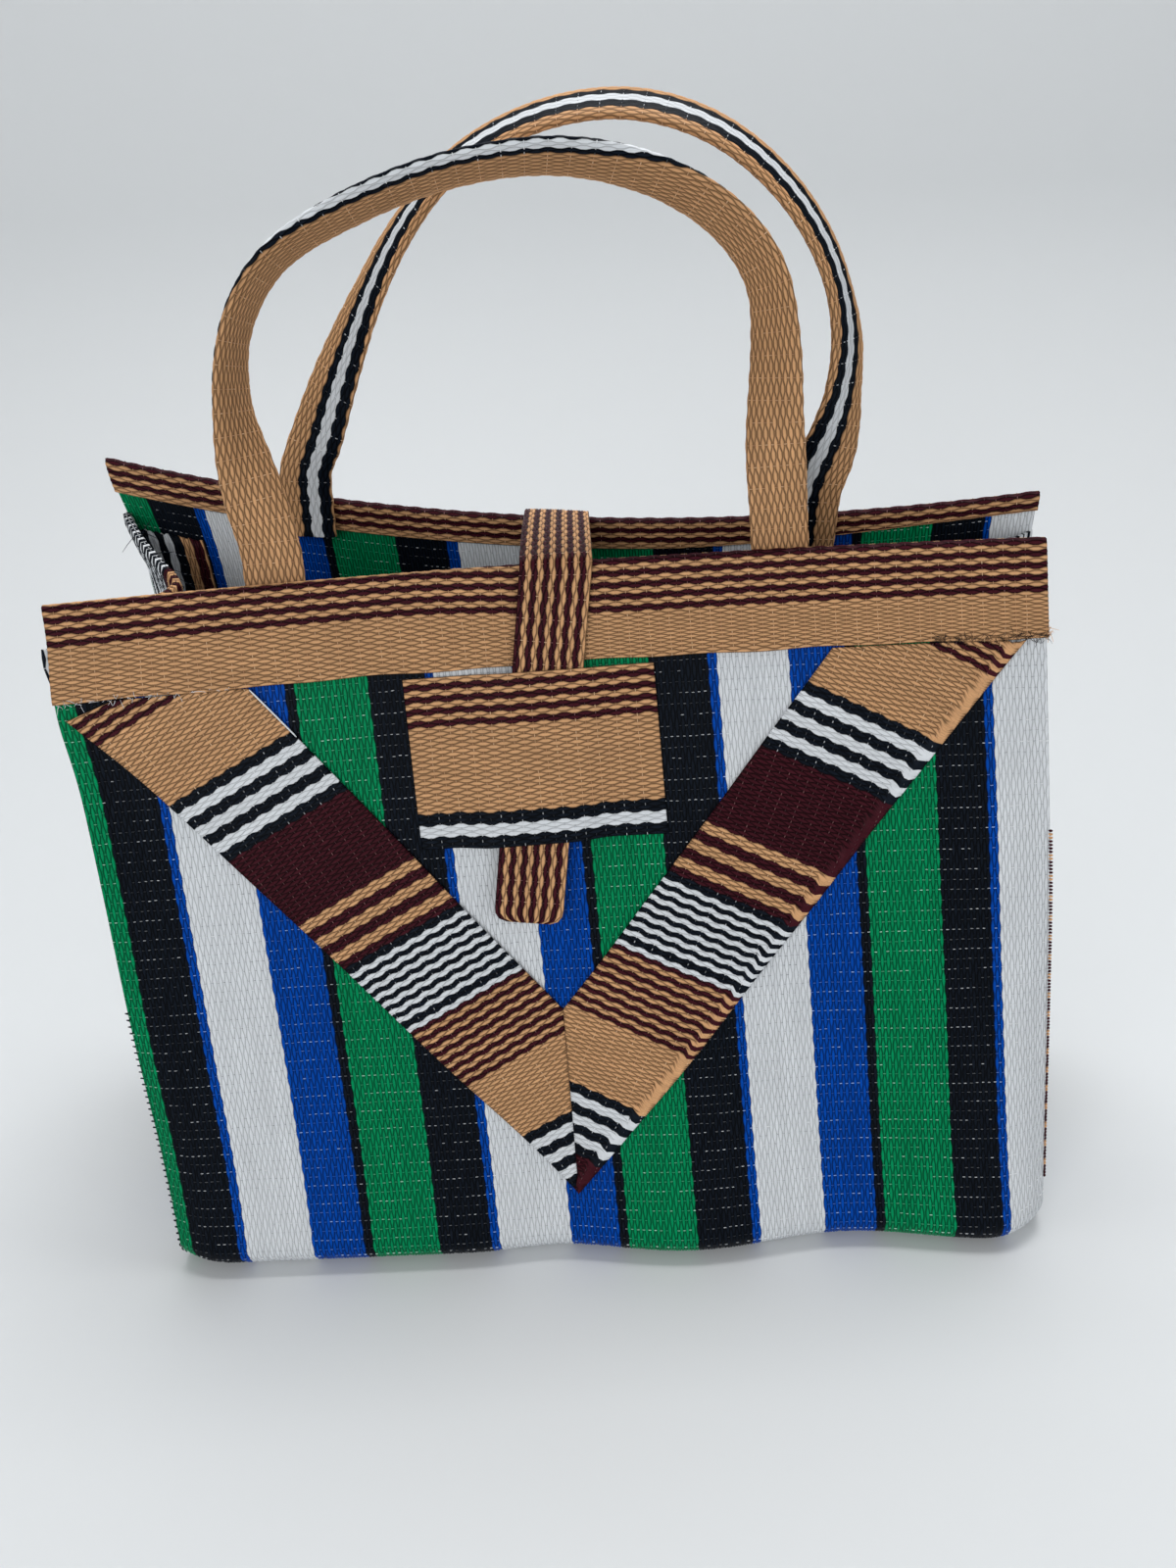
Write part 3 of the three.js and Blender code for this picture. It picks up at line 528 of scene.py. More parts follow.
class Weave:
    """A woven sheet: a grid of straws whose edges wander between the ties, with both faces and a closed edge.

    place(u, v, out) gives its points: u across the straws, v along them, out from the cloth's middle.
    colours(u) gives each straw its colour. fine has four rows to a tie, otherwise there are two. coarse
    leaves out most points of the second face. limits(u), for a sheet that is cut along slanting lines, gives
    where the straw at u begins and ends, and the nearest u that the sheet has.
    """

    def __init__(self, name, place, span, run, colours, half, pitch=PITCH, relief=RELIEF, tie=TIE,
                 zigzag=ZIGZAG, fine=True, coarse=False, limits=None):
        self.name, self.place, self.half, self.relief = name, place, half, relief
        self.coarse, self.limits = coarse, limits
        self.count = max(2, round((span[1] - span[0]) / pitch))
        self.pitch = (span[1] - span[0]) / self.count
        self.ties = max(1, round((run[1] - run[0]) / tie))
        self.tie = (run[1] - run[0]) / self.ties
        self.col_u = span[0] + self.pitch * np.arange(2 * self.count + 1) / 2
        if fine:
            steps, tri = tie_steps(self.ties)
        else:
            steps = np.arange(2 * self.ties + 1) / 2
            tri = np.cos(2 * math.pi * steps)
        tri = tri[:, None]
        self.row_v = run[0] + self.tie * steps
        lean, crest, side = straw_columns(len(self.col_u))
        lean[[0, -1]] = 0
        self.U = self.col_u + zigzag * self.pitch * lean * tri
        self.V = np.repeat(self.row_v[:, None], len(self.col_u), 1)
        self.lift = straw_lift(crest, side, tri)
        if limits is not None:
            low, high, nominal = limits(self.col_u)
            self.past = (self.V < low) | (self.V > high)
            self.U, self.V = np.where(self.past, nominal, self.U), np.clip(self.V, low, high)
            self.lift = np.where(self.past, CUT_LIFT * crest, self.lift)
        self.straw_colour = colours(span[0] + self.pitch * (np.arange(self.count) + 0.5))
        self.tone = RNG.random(self.count)

    def tie_threads(self, faces, faint):
        """Small closed threads: rows over every second straw that take more painted glint, and faint rows
        between over the others that take less.
        """
        straw, row = np.mgrid[0:self.count, 1:self.ties].reshape(2, -1)
        between = straw % 2
        u = self.col_u[0] + self.pitch * (straw + 0.5)
        v = self.row_v[0] + self.tie * (row - 0.5 * between)
        keep = RNG.random(len(u)) > DASH_SKIPPED
        if self.limits is not None:
            low, high, nominal = self.limits(u)
            keep &= (np.abs(nominal - u) < 1e-6) & (v > low + CUT_MARGIN) & (v < high - CUT_MARGIN)
        u, v, code, between = u[keep], v[keep], self.straw_colour[straw][keep], between[keep]
        length = DASH_LONG * self.pitch / 2 * (0.85 + 0.3 * RNG.random(len(u)))
        slide = 0.12 * (RNG.random(len(u)) - 0.5)
        v = v + 0.25 * (RNG.random(len(u)) - 0.5)
        deep = self.half - 0.7 * self.relief
        parts, codes, dull = [], [], []
        for face in faces:
            some = (between == 0) | (face in faint)
            parts.append(np.stack([
                self.place((u + length * x + slide)[some], v[some] + DASH_WIDE / 2 * y * face,
                           face * (deep + 0.75 * self.relief * z)) for x, y, z in DASH_SHAPE], 1))
            codes.append(code[some])
            dull.append(1 - 0.7 * between[some])
        pts = np.concatenate(parts)
        # tone: how far each thread goes from its dark colour to its painted glint, held to three tenths on
        # the faint rows
        tone = RNG.random(len(pts)) ** 1.1 * np.concatenate(dull)
        return small_pieces(self.name + "_tie_threads", pts, DASH_FACES, np.concatenate(codes), tone, THREADS)

    def build(self):
        nr, nc = self.U.shape
        ri, ci, lift = np.arange(nr), np.arange(nc), self.lift
        if self.coarse:
            ri = np.unique(np.r_[np.arange(0, nr, 4), nr - 1])
            ci = np.unique(np.r_[0, np.arange(1, nc - 1, 4), nc - 1])
            lift = np.full((nr, nc), HIDDEN_LIFT)
        some, n_out = np.ix_(ri, ci), nr * nc
        grids = ((self.U, self.V, self.lift, 1), (self.U[some], self.V[some], lift[some], -1))
        verts = np.concatenate([
            self.place(u, v, face * (self.half - self.relief + self.relief * up)).reshape(-1, 3)
            for u, v, up, face in grids])
        relief = np.concatenate([up.ravel() for _, _, up, _ in grids])
        st = np.concatenate([np.stack([u / self.pitch, v / self.tie], -1).reshape(-1, 2)
                             for u, v, _, _ in grids])
        share_u, share_v = ((x - x[0]) / (x[-1] - x[0]) for x in (self.col_u, self.row_v))
        wide = np.ptp(self.col_u) > np.ptp(self.row_v)

        def chart(gu, gv, second):
            """The two faces lie side by side in the map."""
            a, b = (CHART_MARGIN + x * (1 - 2 * CHART_MARGIN) for x in np.meshgrid(gu, gv))
            return np.stack([a, (b + second) / 2] if wide else [(a + second) / 2, b], -1).reshape(-1, 2)

        uv = np.concatenate([chart(share_u, share_v, 0), chart(share_u[ci], share_v[ri], 1)])
        outer = np.arange(n_out).reshape(nr, nc)
        inner = n_out + np.arange(outer[some].size).reshape(outer[some].shape)
        faces, straws = [], []
        for ids, cols, turn in ((outer, np.arange(nc), 1), (inner, ci, -1)):
            quads = np.stack([ids[:-1, :-1], ids[:-1, 1:], ids[1:, 1:], ids[1:, :-1]], -1).reshape(-1, 4)
            faces.append(quads[:, ::turn])
            straws.append(np.tile((cols[:-1] + cols[1:]) // 4, len(ids) - 1))

        # the closed edge, from the outer grid's border to the inner grid's
        border = np.r_[outer[0], outer[1:, -1], outer[-1, -2::-1], outer[-2:0:-1, 0]]
        into = np.full(n_out, -1)
        into[outer[some]] = inner
        met = [(k, i) for k, i in enumerate(into[border]) if i >= 0]
        total, edge, here = len(border), [], []
        for (ka, ia), (kb, ib) in zip(met, met[1:] + [(met[0][0] + total, met[0][1])]):
            m = (ka + kb) // 2
            edge += [(border[(k + 1) % total], border[k % total], ia if k < m else ib) for k in range(ka, kb)]
            edge.append((border[m % total], ia, ib))
            here += [*range(ka, kb), m]
        edge = np.array(edge)
        straws.append(border[np.array(here) % total] % nc // 2)
        straw = np.minimum(np.concatenate(straws), self.count - 1)
        groups = faces + [edge]
        return raw_mesh(self.name + "_cloth", verts, np.concatenate([f.ravel() for f in groups]),
                        np.concatenate([np.full(len(f), f.shape[1]) for f in groups]),
                        self.straw_colour[straw], self.tone[straw], relief,
                        np.concatenate([x.reshape(-1, 2) for x in (*(uv[f] for f in faces),
                                                                   outline_uv(edge, n_out, uv))]),
                        np.concatenate([st[f].reshape(-1, 2) for f in groups]), weld=self.limits is not None)


def dress(obj, body, nodes):
    """Lets a piece ride on its body and stand for its nodes."""
    if body:
        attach(obj, body)
    if nodes:
        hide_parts(*nodes)


def lay(weave, ties=(1,), faint=(1, -1), body="bag", nodes=None):
    """Builds a sheet with its tie threads on the faces named in ties."""
    obj = weave.build()
    dress(obj, body, [weave.name] if nodes is None else nodes)
    threads = weave.tie_threads(ties, faint)
    dress(threads, body, ())
    return obj, threads


# ---- walls: the front one shows its outside, the back one its inside
for name, wall, faces, faint in (("front_panel", FRONT, (1,), (1,)), ("back_panel", BACK, (1, -1), (-1,))):
    weave = Weave(name, lambda u, v, out, w=wall: on_wall(w, u, v, out), (0.4 - HALF_WIDTH, HALF_WIDTH - 0.4),
                  (0.3, WALL_HEIGHT - 0.5), WALL_COLOURS[wall["side"]], SHEET / 2, zigzag=WALL_ZIGZAG,
                  fine=wall is FRONT, coarse=wall is FRONT)
    lay(weave, ties=faces, faint=faint)

# ---- gussets
for name, hand in (("left_gusset", -1), ("right_gusset", 1)):
    weave = Weave(name, lambda u, v, out, g=hand: on_gusset(g, u / GUSSET_WIDTH, v, out),
                  (0.6, GUSSET_WIDTH - 0.6), (0.4, GUSSET_HEIGHT - 0.5), GUSSET_COLOURS[hand], SHEET / 2,
                  zigzag=WALL_ZIGZAG, fine=False)
    lay(weave, ties=(1, -1))

# the gusset's cloth laps onto the inside of the back wall, left
LAP_LEFT, LAP_RIGHT, LAP_LOW, LAP_HIGH = -176.5, -147.0, 60.0, 246.5
LAP_INSIDE = SHEET / 2 + 0.1 + SHEET * 0.35   # from the wall's middle to the lap's, which is drawn thinner


def lap_place(u, v, out):
    ragged = 0.9 * np.sin(u * 1.9) * np.sin(u * 0.63 + 1) * np.clip((v - 235) / 18, 0, 1)
    return on_wall(BACK, u, v + ragged, out * 0.7 - LAP_INSIDE)


weave = Weave("left_gusset_lap", lap_place, (LAP_LEFT, LAP_RIGHT), (LAP_LOW, LAP_HIGH),
              by_width("K4.6 W3.4 K3.4 W3.2 K5 T3.8 M4.4 T3.2 K9", LAP_LEFT), SHEET / 2, fine=False)
lay(weave,
    ties=(1, -1), nodes=())

# ---- base
BASE_HALF, BASE_DEEP = HALF_WIDTH - BASE_CORNER - 2, 136


def base_place(u, v, out):
    front, back = (on_wall(w, u, 0, -BASE_INSET, plain=True) for w in (FRONT, BACK))
    front[..., 1] += FOOT_IN - FOOT_OUT
    back[..., 1] -= FOOT_IN - FOOT_OUT
    p = front + (back - front) * ((v + HALF_DEPTH) / (2 * HALF_DEPTH))[..., None]
    p[..., 2] = SHEET / 2 - out
    return p


weave = Weave("base_panel", base_place, (-BASE_HALF, BASE_HALF), (-HALF_DEPTH, HALF_DEPTH), WALL_COLOURS[-1],
              SHEET / 2, fine=False, coarse=True)
lay(weave)


# ---- rim bindings and hems: a folded section, the straws run along it
def fold_path(edge, outer_drop, inner_drop, near, ply):
    """The fold's middle line by distance from the outer ply's foot, as (height, out) and its normal, and its
    length."""
    out = near + ply / 2
    turn = edge + GAP + ply / 2 - out      # the height where the bend begins
    foot, arc = edge - outer_drop, math.pi * out
    straight = turn - foot

    def at(s):
        s = np.asarray(s, float)
        t = np.clip((s - straight) / arc, 0, 1) * math.pi
        bent, down = (s >= straight) & (s <= straight + arc), s > straight + arc
        h = np.where(bent, turn + out * np.sin(t), foot + s)
        h = np.where(down, turn - (s - straight - arc), h)
        o = np.where(bent, out * np.cos(t), np.where(down, -out, out))
        return h, o, np.where(bent, np.sin(t), 0), np.where(bent, np.cos(t), np.where(down, -1, 1))
    return at, straight + arc + (turn - (edge - inner_drop))


BAND_PITCH, BAND_ROLL = 1.004, 4.0       # the front band is rolled over the rim at the right
BACK_TAPER, INNER_PLY = 0.45, INNER_DROP + 3   # the back band's inner ply narrows to the right
BAND = "T20 M2 T2 M2 T2 M2 T2 M2 T2 M3 T2 M2 T2 M2 T9"
band_fold, BAND_LENGTH = fold_path(WALL_HEIGHT, BINDING_DROP, INNER_DROP, SHEET / 2 + GAP, BINDING)


def band_place(w, u, v, out):
    loose = 0.5 * np.sin(v / 9.0) * np.sin(v / 23.0 + 1) * np.exp(-u / 3.0)
    if w is FRONT:
        u = u - (BAND_ROLL * smoothstep(v, -60, 30) * smoothstep(u, 0, 20)
                 * smoothstep(BAND_LENGTH - u, 0, 6))
    else:
        over = np.maximum(0, u - (BAND_LENGTH - INNER_DROP - 3))
        keep = INNER_PLY * (1 - BACK_TAPER * smoothstep(v, 20, 170))
        u = u - np.maximum(0, over - keep) * 0.9
    h, o, nh, no = band_fold(u + loose)
    puff = 0.35 * np.sin(v / 13.0 + 0.5 * w["side"]) * np.clip(u / 10, 0, 1) * (u < 30) * (out > 0)
    return on_wall(w, v, h + nh * out, o + no * (out + puff * 0.5))


for name, wall, first in (("front_rim_binding", FRONT, 0.0), ("back_rim_binding", BACK, -2.0)):
    weave = Weave(name, lambda u, v, out, w=wall: band_place(w, u, v, out), (0, BAND_LENGTH),
                  (-HALF_WIDTH, HALF_WIDTH), by_count(BAND, first, BAND_PITCH), BINDING / 2, pitch=BAND_PITCH,
                  relief=0.45, tie=7.6, coarse=True)
    lay(weave)

HEM_PLY, HEM_ROOM = BINDING * 0.8, 0.05
hem_fold, HEM_LENGTH = fold_path(GUSSET_HEIGHT, HEM_DROP, HEM_DROP, SHEET / 2 + GAP + HEM_ROOM, HEM_PLY)


def hem_place(hand, u, v, out):
    h, o, nh, no = hem_fold(v)
    return on_gusset(hand, u / GUSSET_WIDTH, h + nh * out, o + no * out)


for name, hand, low, high, ticks in (
        ("left_gusset_hem", -1, 0.13, 0.97, "T10 " + "M3 T3 " * 8 + "M3 " + "K2 W1 " * 30),
        ("right_gusset_hem", 1, 0.16, 0.84, "M3 T3 " * 4 + "M3 " + "K1 W1 " * 14 + "K2 W2 K2 W2 K9 W9 K30")):
    first, last = low * GUSSET_WIDTH, high * GUSSET_WIDTH
    weave = Weave(name, lambda u, v, out, g=hand: hem_place(g, u, v, out), (first, last), (0, HEM_LENGTH),
                  by_count(ticks, first, PITCH), HEM_PLY / 2, relief=0.35, coarse=True)
    lay(weave)

# ---- sewn-on V of two strips: corners as (across, up) on the front wall, from the outer edge's end inwards
STRIP_TOP = WALL_HEIGHT - BINDING_DROP - GAP
STRIPS = (("v_strip_left", -1, 26.0, [(-174.5, 232.5), (-158.0, STRIP_TOP), (-113.0, STRIP_TOP)]),
          ("v_strip_right", 1, 27.0, [(170.0, STRIP_TOP), (100.5, STRIP_TOP)]))
MITRE_TOP, MITRE_TIP, MITRE_GAP = (-11.7, 108.2), (-13.0, 30.1), 0.05
STRIP_COLOURS = ("T30 M2 T2 M2 T2 M2 T30 K4 W4 K4 W4 K4 W4 K4 M34 T4 M4 T4 M4 T4 M3 K3 W2 " + "K2 W2 " * 6
                 + "K3 W2 " + "M2 T2 " * 7 + "M2 T30 K4 W4 K4 W4 K4 W4 K4 M34")
STRIP_FIRST = -243.3 - 70      # the first black straw, and the straws before it
STRIP_HEM, STRIP_KINK = 4.2, 1.0   # the right strip's outer edge is folded over, with ribs across it


def strip_weave(name, hand, slope, ends):
    tilt = math.radians(slope)
    along = np.array([math.cos(tilt), -hand * math.sin(tilt)])   # of a straw, to the right
    down = np.array([-hand * math.sin(tilt), -math.cos(tilt)])   # across the straws, towards the tip
    corners = [np.array(c) for c in (*ends, *((a + hand * MITRE_GAP, h) for a, h in (MITRE_TOP, MITRE_TIP)))]
    uv = np.array([(c @ down, c @ along) for c in corners])
    u_low, u_high = uv[:, 0].min() + 0.02, uv[:, 0].max() - 0.02
    start = corners[0]                                           # the outer edge begins here
    way = (corners[-1] - start) / np.linalg.norm(corners[-1] - start)
    near = SHEET / 2 + GAP + TRIM / 2

    def limits(u):
        u = np.clip(u, u_low, u_high)
        low, high = np.full(u.shape, 1e9), np.full(u.shape, -1e9)
        for (ua, va), (ub, vb) in zip(uv, np.roll(uv, -1, 0)):
            t = (u - ua) / (ub - ua)
            inside = (t >= -1e-9) & (t <= 1 + 1e-9)
            v = va + (vb - va) * t
            low, high = np.where(inside, np.minimum(low, v), low), np.where(inside, np.maximum(high, v), high)
        return low, high, u

    def on_strip(u, v):
        """The place on the wall, and its distance from the outer edge."""
        a, h = (u * down[i] + v * along[i] for i in (0, 1))
        return a, h, np.abs((a - start[0]) * way[1] - (h - start[1]) * way[0])

    def place(u, v, out):
        a, h, off = on_strip(u, v)
        rise = 0.0
        if hand > 0:
            front, folded = np.asarray(out) > 0, smoothstep(off, STRIP_HEM + 0.4, STRIP_HEM - 0.4)
            out = out - (out - TRIM / 2 + 0.1) * 0.3 * folded * front
            rise = (0.7 * folded - 0.6 * np.exp(-((off - STRIP_HEM - 0.6) / 0.6) ** 2)) * front
            kink = STRIP_KINK * folded * smoothstep(off, 0.0, 1.5)
            a, h = a + kink * way[0], h + kink * way[1]
        return on_wall(FRONT, a, h, near + out + rise)

    # whole straws from the first one on, so that the colours keep their places
    span = [STRIP_FIRST + whole(u - STRIP_FIRST) for whole, u in ((math.floor, u_low), (math.ceil, u_high))]
    low, high, _ = limits(np.linspace(u_low, u_high, 400))
    weave = Weave(name, place, span, (low.min(), high.max()), by_count(STRIP_COLOURS, STRIP_FIRST, 1.0),
                  TRIM / 2 + 0.05, pitch=1.0, tie=7.2, limits=limits)
    if hand > 0:
        ribbed = (on_strip(weave.U, weave.V)[2] < STRIP_HEM - 0.3) & ~weave.past
        # the ribs rise and fall, and the straws' material paints shade on the low ones
        weave.lift = np.where(ribbed, 0.5 + 0.35 * (sum(np.indices(ribbed.shape)) % 2), weave.lift)
    lay(weave)


for strip in STRIPS:
    strip_weave(*strip)


# ---- courses: the middle line of a band with its directions
def turned(a, b, angle):
    return a * math.cos(angle) + b * math.sin(angle)


def upward(v):
    return v if v[2] > 0 else -v


def run_length(pts):
    return np.r_[0, np.cumsum(np.linalg.norm(np.diff(pts, axis=0), axis=1))]


def along_line(at, known, x):
    """The rows of x, that are given at the places known, for the places at."""
    return np.stack([np.interp(at, known, x[:, i]) for i in range(x.shape[1])], -1)


def resample(rows, smooth):
    """An evenly spaced course: distance, centre, sideways, outward, half width."""
    centre, side, out, width = (np.array(x) for x in zip(*rows))
    dist = run_length(centre)
    s = np.linspace(0, dist[-1], int(dist[-1] / COURSE_STEP) + 1)
    centre, side, out = (along_line(s, dist, x) for x in (centre, side, out))
    kernel = np.hanning(2 * max(1, int(smooth / COURSE_STEP)) + 3)[1:-1]
    kernel /= kernel.sum()
    pad = len(kernel) // 2

    def soft(x):
        """Smoothed, with the ends mirrored so that they stay."""
        y = np.concatenate([2 * x[0] - x[pad:0:-1], x, 2 * x[-1] - x[-2:-pad - 2:-1]])
        return np.apply_along_axis(lambda column: np.convolve(column, kernel, "valid"), 0, y)

    centre, side, out = soft(centre), unit(soft(side)), soft(out)
    way = unit(np.gradient(centre, axis=0))
    out = unit(out - way * dot(out, way)[:, None])
    side = unit(side - out * dot(side, out)[:, None])
    return s, centre, side, out, soft(np.interp(s, dist, width))


def at_course(course, v):
    s, centre, side, out, width = course
    return [along_line(v, s, x) for x in (centre, side, out)] + [np.interp(v, s, width)]


# ---- closing strap
STRAP_HALF = STRAP_WIDTH / 2


def strap_frame():
    """The strap's middle at the front rim, the rim's way there, and the strap's ways up, out and across."""
    top, lower = (on_wall(FRONT, STRAP_AT_RIM - drop * STRAP_TAN, WALL_HEIGHT - drop, SHEET / 2 + STRAP_RISE,
                          plain=True) for drop in (0, BINDING_DROP))
    right, left = (wall_point(FRONT, STRAP_AT_RIM + x, WALL_HEIGHT) for x in (STRAP_HALF, -STRAP_HALF))
    rim, up = unit(right - left), unit(top - lower)
    out = unit(np.cross(rim, up))
    return top, rim, up, out, unit(np.cross(up, out))


def strap_course():
    """Middle line, ways sideways and outwards, and half width, from the sewn foot to the free end."""
    top, rim, up, out, across = strap_frame()
    near, rows = SHEET / 2 + STRAP_RISE, []
    for h in np.linspace(WALL_HEIGHT - ANCHOR_DROP, WALL_HEIGHT, 12):
        p, q = (on_wall(BACK, STRAP_AT_RIM + x, h, near) for x in (0, 5))
        rows.append((p, unit(q - p), wall_normal(BACK, STRAP_AT_RIM, h), STRAP_HALF))
    # over the back rim
    n = wall_normal(BACK, STRAP_AT_RIM, WALL_HEIGHT)
    left, middle, right = (on_wall(BACK, STRAP_AT_RIM + x, WALL_HEIGHT, 0) for x in (-5, 0, 5))
    side = unit(right - left)
    above = upward(np.cross(n, side))
    for t in np.linspace(0.25, 1, 4):
        angle = t * math.pi / 2
        p = middle + n * near * math.cos(angle) + above * STRAP_RISE * math.sin(angle)
        rows.append((p, side, unit(turned(n, above, angle)), STRAP_HALF))
    # across the mouth, a little bowed
    square = unit(up - rim * dot(up, rim))
    centre = top + up * (STRAP_RISE - STRAP_BEND) - out * STRAP_BEND
    joint = rows[-1][0]
    bridge_up = upward(unit(np.cross(rim, unit(joint - centre))))
    turn_to = math.acos(max(-1, min(1, float(dot(out, bridge_up)))))
    ray = turned(out, square, turn_to)
    landing = centre + ray * STRAP_BEND
    for t in np.linspace(0, 1, 8)[1:]:
        p = joint + (landing - joint) * t + np.array([0, 0, 1.0]) * STRAP_BOW * math.sin(math.pi * t)
        rows.append((p, unit(side + (rim - side) * t), unit(above + (ray - above) * t),
                     STRAP_HALF + (SLANTED_HALF - STRAP_HALF) * t))
    # over the front rim, and down to the free end
    for t in np.linspace(1, 0, 6)[1:]:
        ray = turned(out, square, t * turn_to)
        rows.append((centre + ray * STRAP_BEND, rim, ray, SLANTED_HALF))
    foot = float(dot(wall_point(FRONT, STRAP_AT_RIM, STRAP_END) - top, up))
    for t in np.linspace(0.1, 1, 14):
        rows.append((top + up * foot * t, across, out, STRAP_HALF))
    return rows


strap = resample(strap_course(), 2.0)
STRAP_LENGTH = strap[0][-1]
STRAP_PITCH = STRAP_WIDTH / 24


def strap_place(u, v, out):
    centre, side, normal, half = at_course(strap, v)
    left = np.clip((STRAP_LENGTH - v) / STRAP_ROUNDING, 0, 1)
    half = half - STRAP_ROUNDING * (1 - np.sqrt(np.clip(1 - (1 - left) ** 2, 0, 1)))
    x = u / STRAP_HALF
    crown = 0.25 * (1 - x ** 2)
    return centre + side * (x * half)[..., None] + normal * (out + crown)[..., None]


weave = Weave("closure_strap", strap_place, (-STRAP_HALF, STRAP_HALF), (0, STRAP_LENGTH),
              by_count("M2 T2 " * 6, -STRAP_HALF, STRAP_PITCH), STRAP_THICK / 2 - 0.12, pitch=STRAP_PITCH,
              tie=8.0)
# in the part it bends between its sewn end and its free part; here it is put on no body and moves with
# neither
for piece in lay(weave, body=None,
                 nodes=["closure_strap", "closure_strap_sewn_end"]):
    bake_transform(piece)

# ---- patch over the strap
PATCH_TALL = PATCH["high"] - PATCH["low"]
PATCH_PITCH = PATCH_TALL / 57
S_TOP, _, _, S_OUT, _ = strap_frame()


def patch_place(u, v, out):
    """u runs down from the patch's top edge, v across the wall."""
    h = PATCH["high"] - u
    centre = STRAP_AT_RIM - (WALL_HEIGHT - h) * STRAP_TAN
    size = 1 + (np.abs(v - centre) - (SLANTED_HALF + TUNNEL_ROOM)) / TUNNEL_RAMP
    to_face = dot(S_TOP + S_OUT * STRAP_THICK / 2 - wall_point(FRONT, v, h), S_OUT)
    on_strap = to_face / dot(wall_normal(FRONT, v, h), S_OUT) + TUNNEL_ROOM / 2
    near = SHEET / 2 + GAP
    lift = on_strap + (near - on_strap) * smoothstep(size, 1, 2)
    return on_wall(FRONT, v, h, lift + TRIM / 2 + out)


weave = Weave("closure_patch", patch_place, (0, PATCH_TALL), (PATCH["left"], PATCH["right"]),
              by_count("T2 M2 T2 M2 T2 M2 T2 M2 T29 K4 W4 K4", 0, PATCH_PITCH), TRIM / 2, pitch=PATCH_PITCH,
              tie=7.4)
lay(weave)


# ---- handles
def catmull(points):
    """A centripetal Catmull-Rom curve through the points, densely sampled."""
    pts = np.array(points, float)
    ext = np.concatenate([[2 * pts[0] - pts[1]], pts, [2 * pts[-1] - pts[-2]]])
    w = np.linspace(0, 1, 60, endpoint=False)[:, None]
    out = []
    for i in range(len(pts) - 1):
        p0, p1, p2, p3 = ext[i:i + 4]
        d0, d1, d2 = (np.sum((b - a) ** 2) ** 0.25 for a, b in ((p0, p1), (p1, p2), (p2, p3)))
        t1 = ((p1 - p0) / d0 - (p2 - p0) / (d0 + d1) + (p2 - p1) / d1) * d1
        t2 = ((p2 - p1) / d1 - (p3 - p1) / (d1 + d2) + (p3 - p2) / d2) * d1
        out.append(p1 + t1 * w + (-3 * p1 + 3 * p2 - 2 * t1 - t2) * w ** 2
                   + (2 * p1 - 2 * p2 + t1 + t2) * w ** 3)
    return np.concatenate(out + [pts[-1:]])


def handle_course(k):
    """The rows of the band's course from sewn end to sewn end, the loop's length, and the hinge's middle and
    way up."""
    inside = -(SHEET / 2 + GAP + BINDING + GAP + k["stand_off"] + HANDLE_THICK / 2)
    ends = left, right = [on_wall(k["wall"], leg, HINGE_HEIGHT, inside) for leg in k["legs"]]
    axis, lean = unit(right - left), math.radians(k["lean"])
    up = np.array([0, math.sin(lean), math.cos(lean)])
    up = unit(up - axis * dot(up, axis))
    centre, rear, half = (left + right) / 2, unit(np.cross(up, axis)), np.linalg.norm(right - left) / 2
    flat = catmull([(-half, 0), *k["line"], (half, 0)])
    dist = run_length(flat)
    length = dist[-1]
    s = np.linspace(0, length, int(length / COURSE_STEP) + 1)
    xy = along_line(s, dist, flat)
    way = unit(np.gradient(xy, axis=0))
    share = s / length
    free = smoothstep(np.minimum(share, 1 - share), 0, 0.05)[:, None]
    leg = np.where(share < 0.5, 1.0, -1.0)[:, None] * up
    course = leg + (axis * way[:, :1] + up * way[:, 1:] - leg) * free
    outer = unit(np.cross(unit(course), rear))
    turn = (np.radians(np.interp(share, *zip(*k["twist"]))) * k["face"])[:, None]
    across = outer * np.cos(turn) + rear * np.sin(turn)
    through = rear * np.cos(turn) - outer * np.sin(turn)
    points = centre + axis * xy[:, :1] + up * xy[:, 1:]
    sewn = []
    for pivot, a, hand in zip(ends, k["legs"], (-1, 1)):
        rise = wall_point(k["wall"], a, HINGE_HEIGHT, True) - wall_point(k["wall"], a, HANDLE_ENDS_AT, True)
        rise = unit(rise - axis * dot(rise, axis))
        part = [(pivot - rise * d, axis * hand, unit(np.cross(rise, axis)), 1.0)
                for d in np.linspace(HANDLE_SEWN, 1.0, 26)]
        sewn.append(part[::-hand])
    return sewn[0] + [(*row, 1.0) for row in zip(points, across, through)] + sewn[1], length, centre, up


def section(half_width, half_thick, power=3.2):
    """The band's outline by share of the way round, from the outer edge over the plain face."""
    t = np.linspace(0, 2 * math.pi, 1441)
    w = half_width * np.sign(np.cos(t)) * np.abs(np.cos(t)) ** (2 / power)
    h = half_thick * np.sin(t)
    dist = np.r_[0, np.cumsum(np.hypot(np.diff(w), np.diff(h)))]
    q = dist / dist[-1]
    dw, dh = np.gradient(w, q), np.gradient(h, q)
    size = np.hypot(dw, dh)
    return lambda x: [np.interp(np.mod(x, 1.0), q, y) for y in (w, h, dh / size, -dw / size)], dist[-1]


SECTION, AROUND = section(HANDLE_WIDTH / 2 - 0.35, HANDLE_THICK / 2)


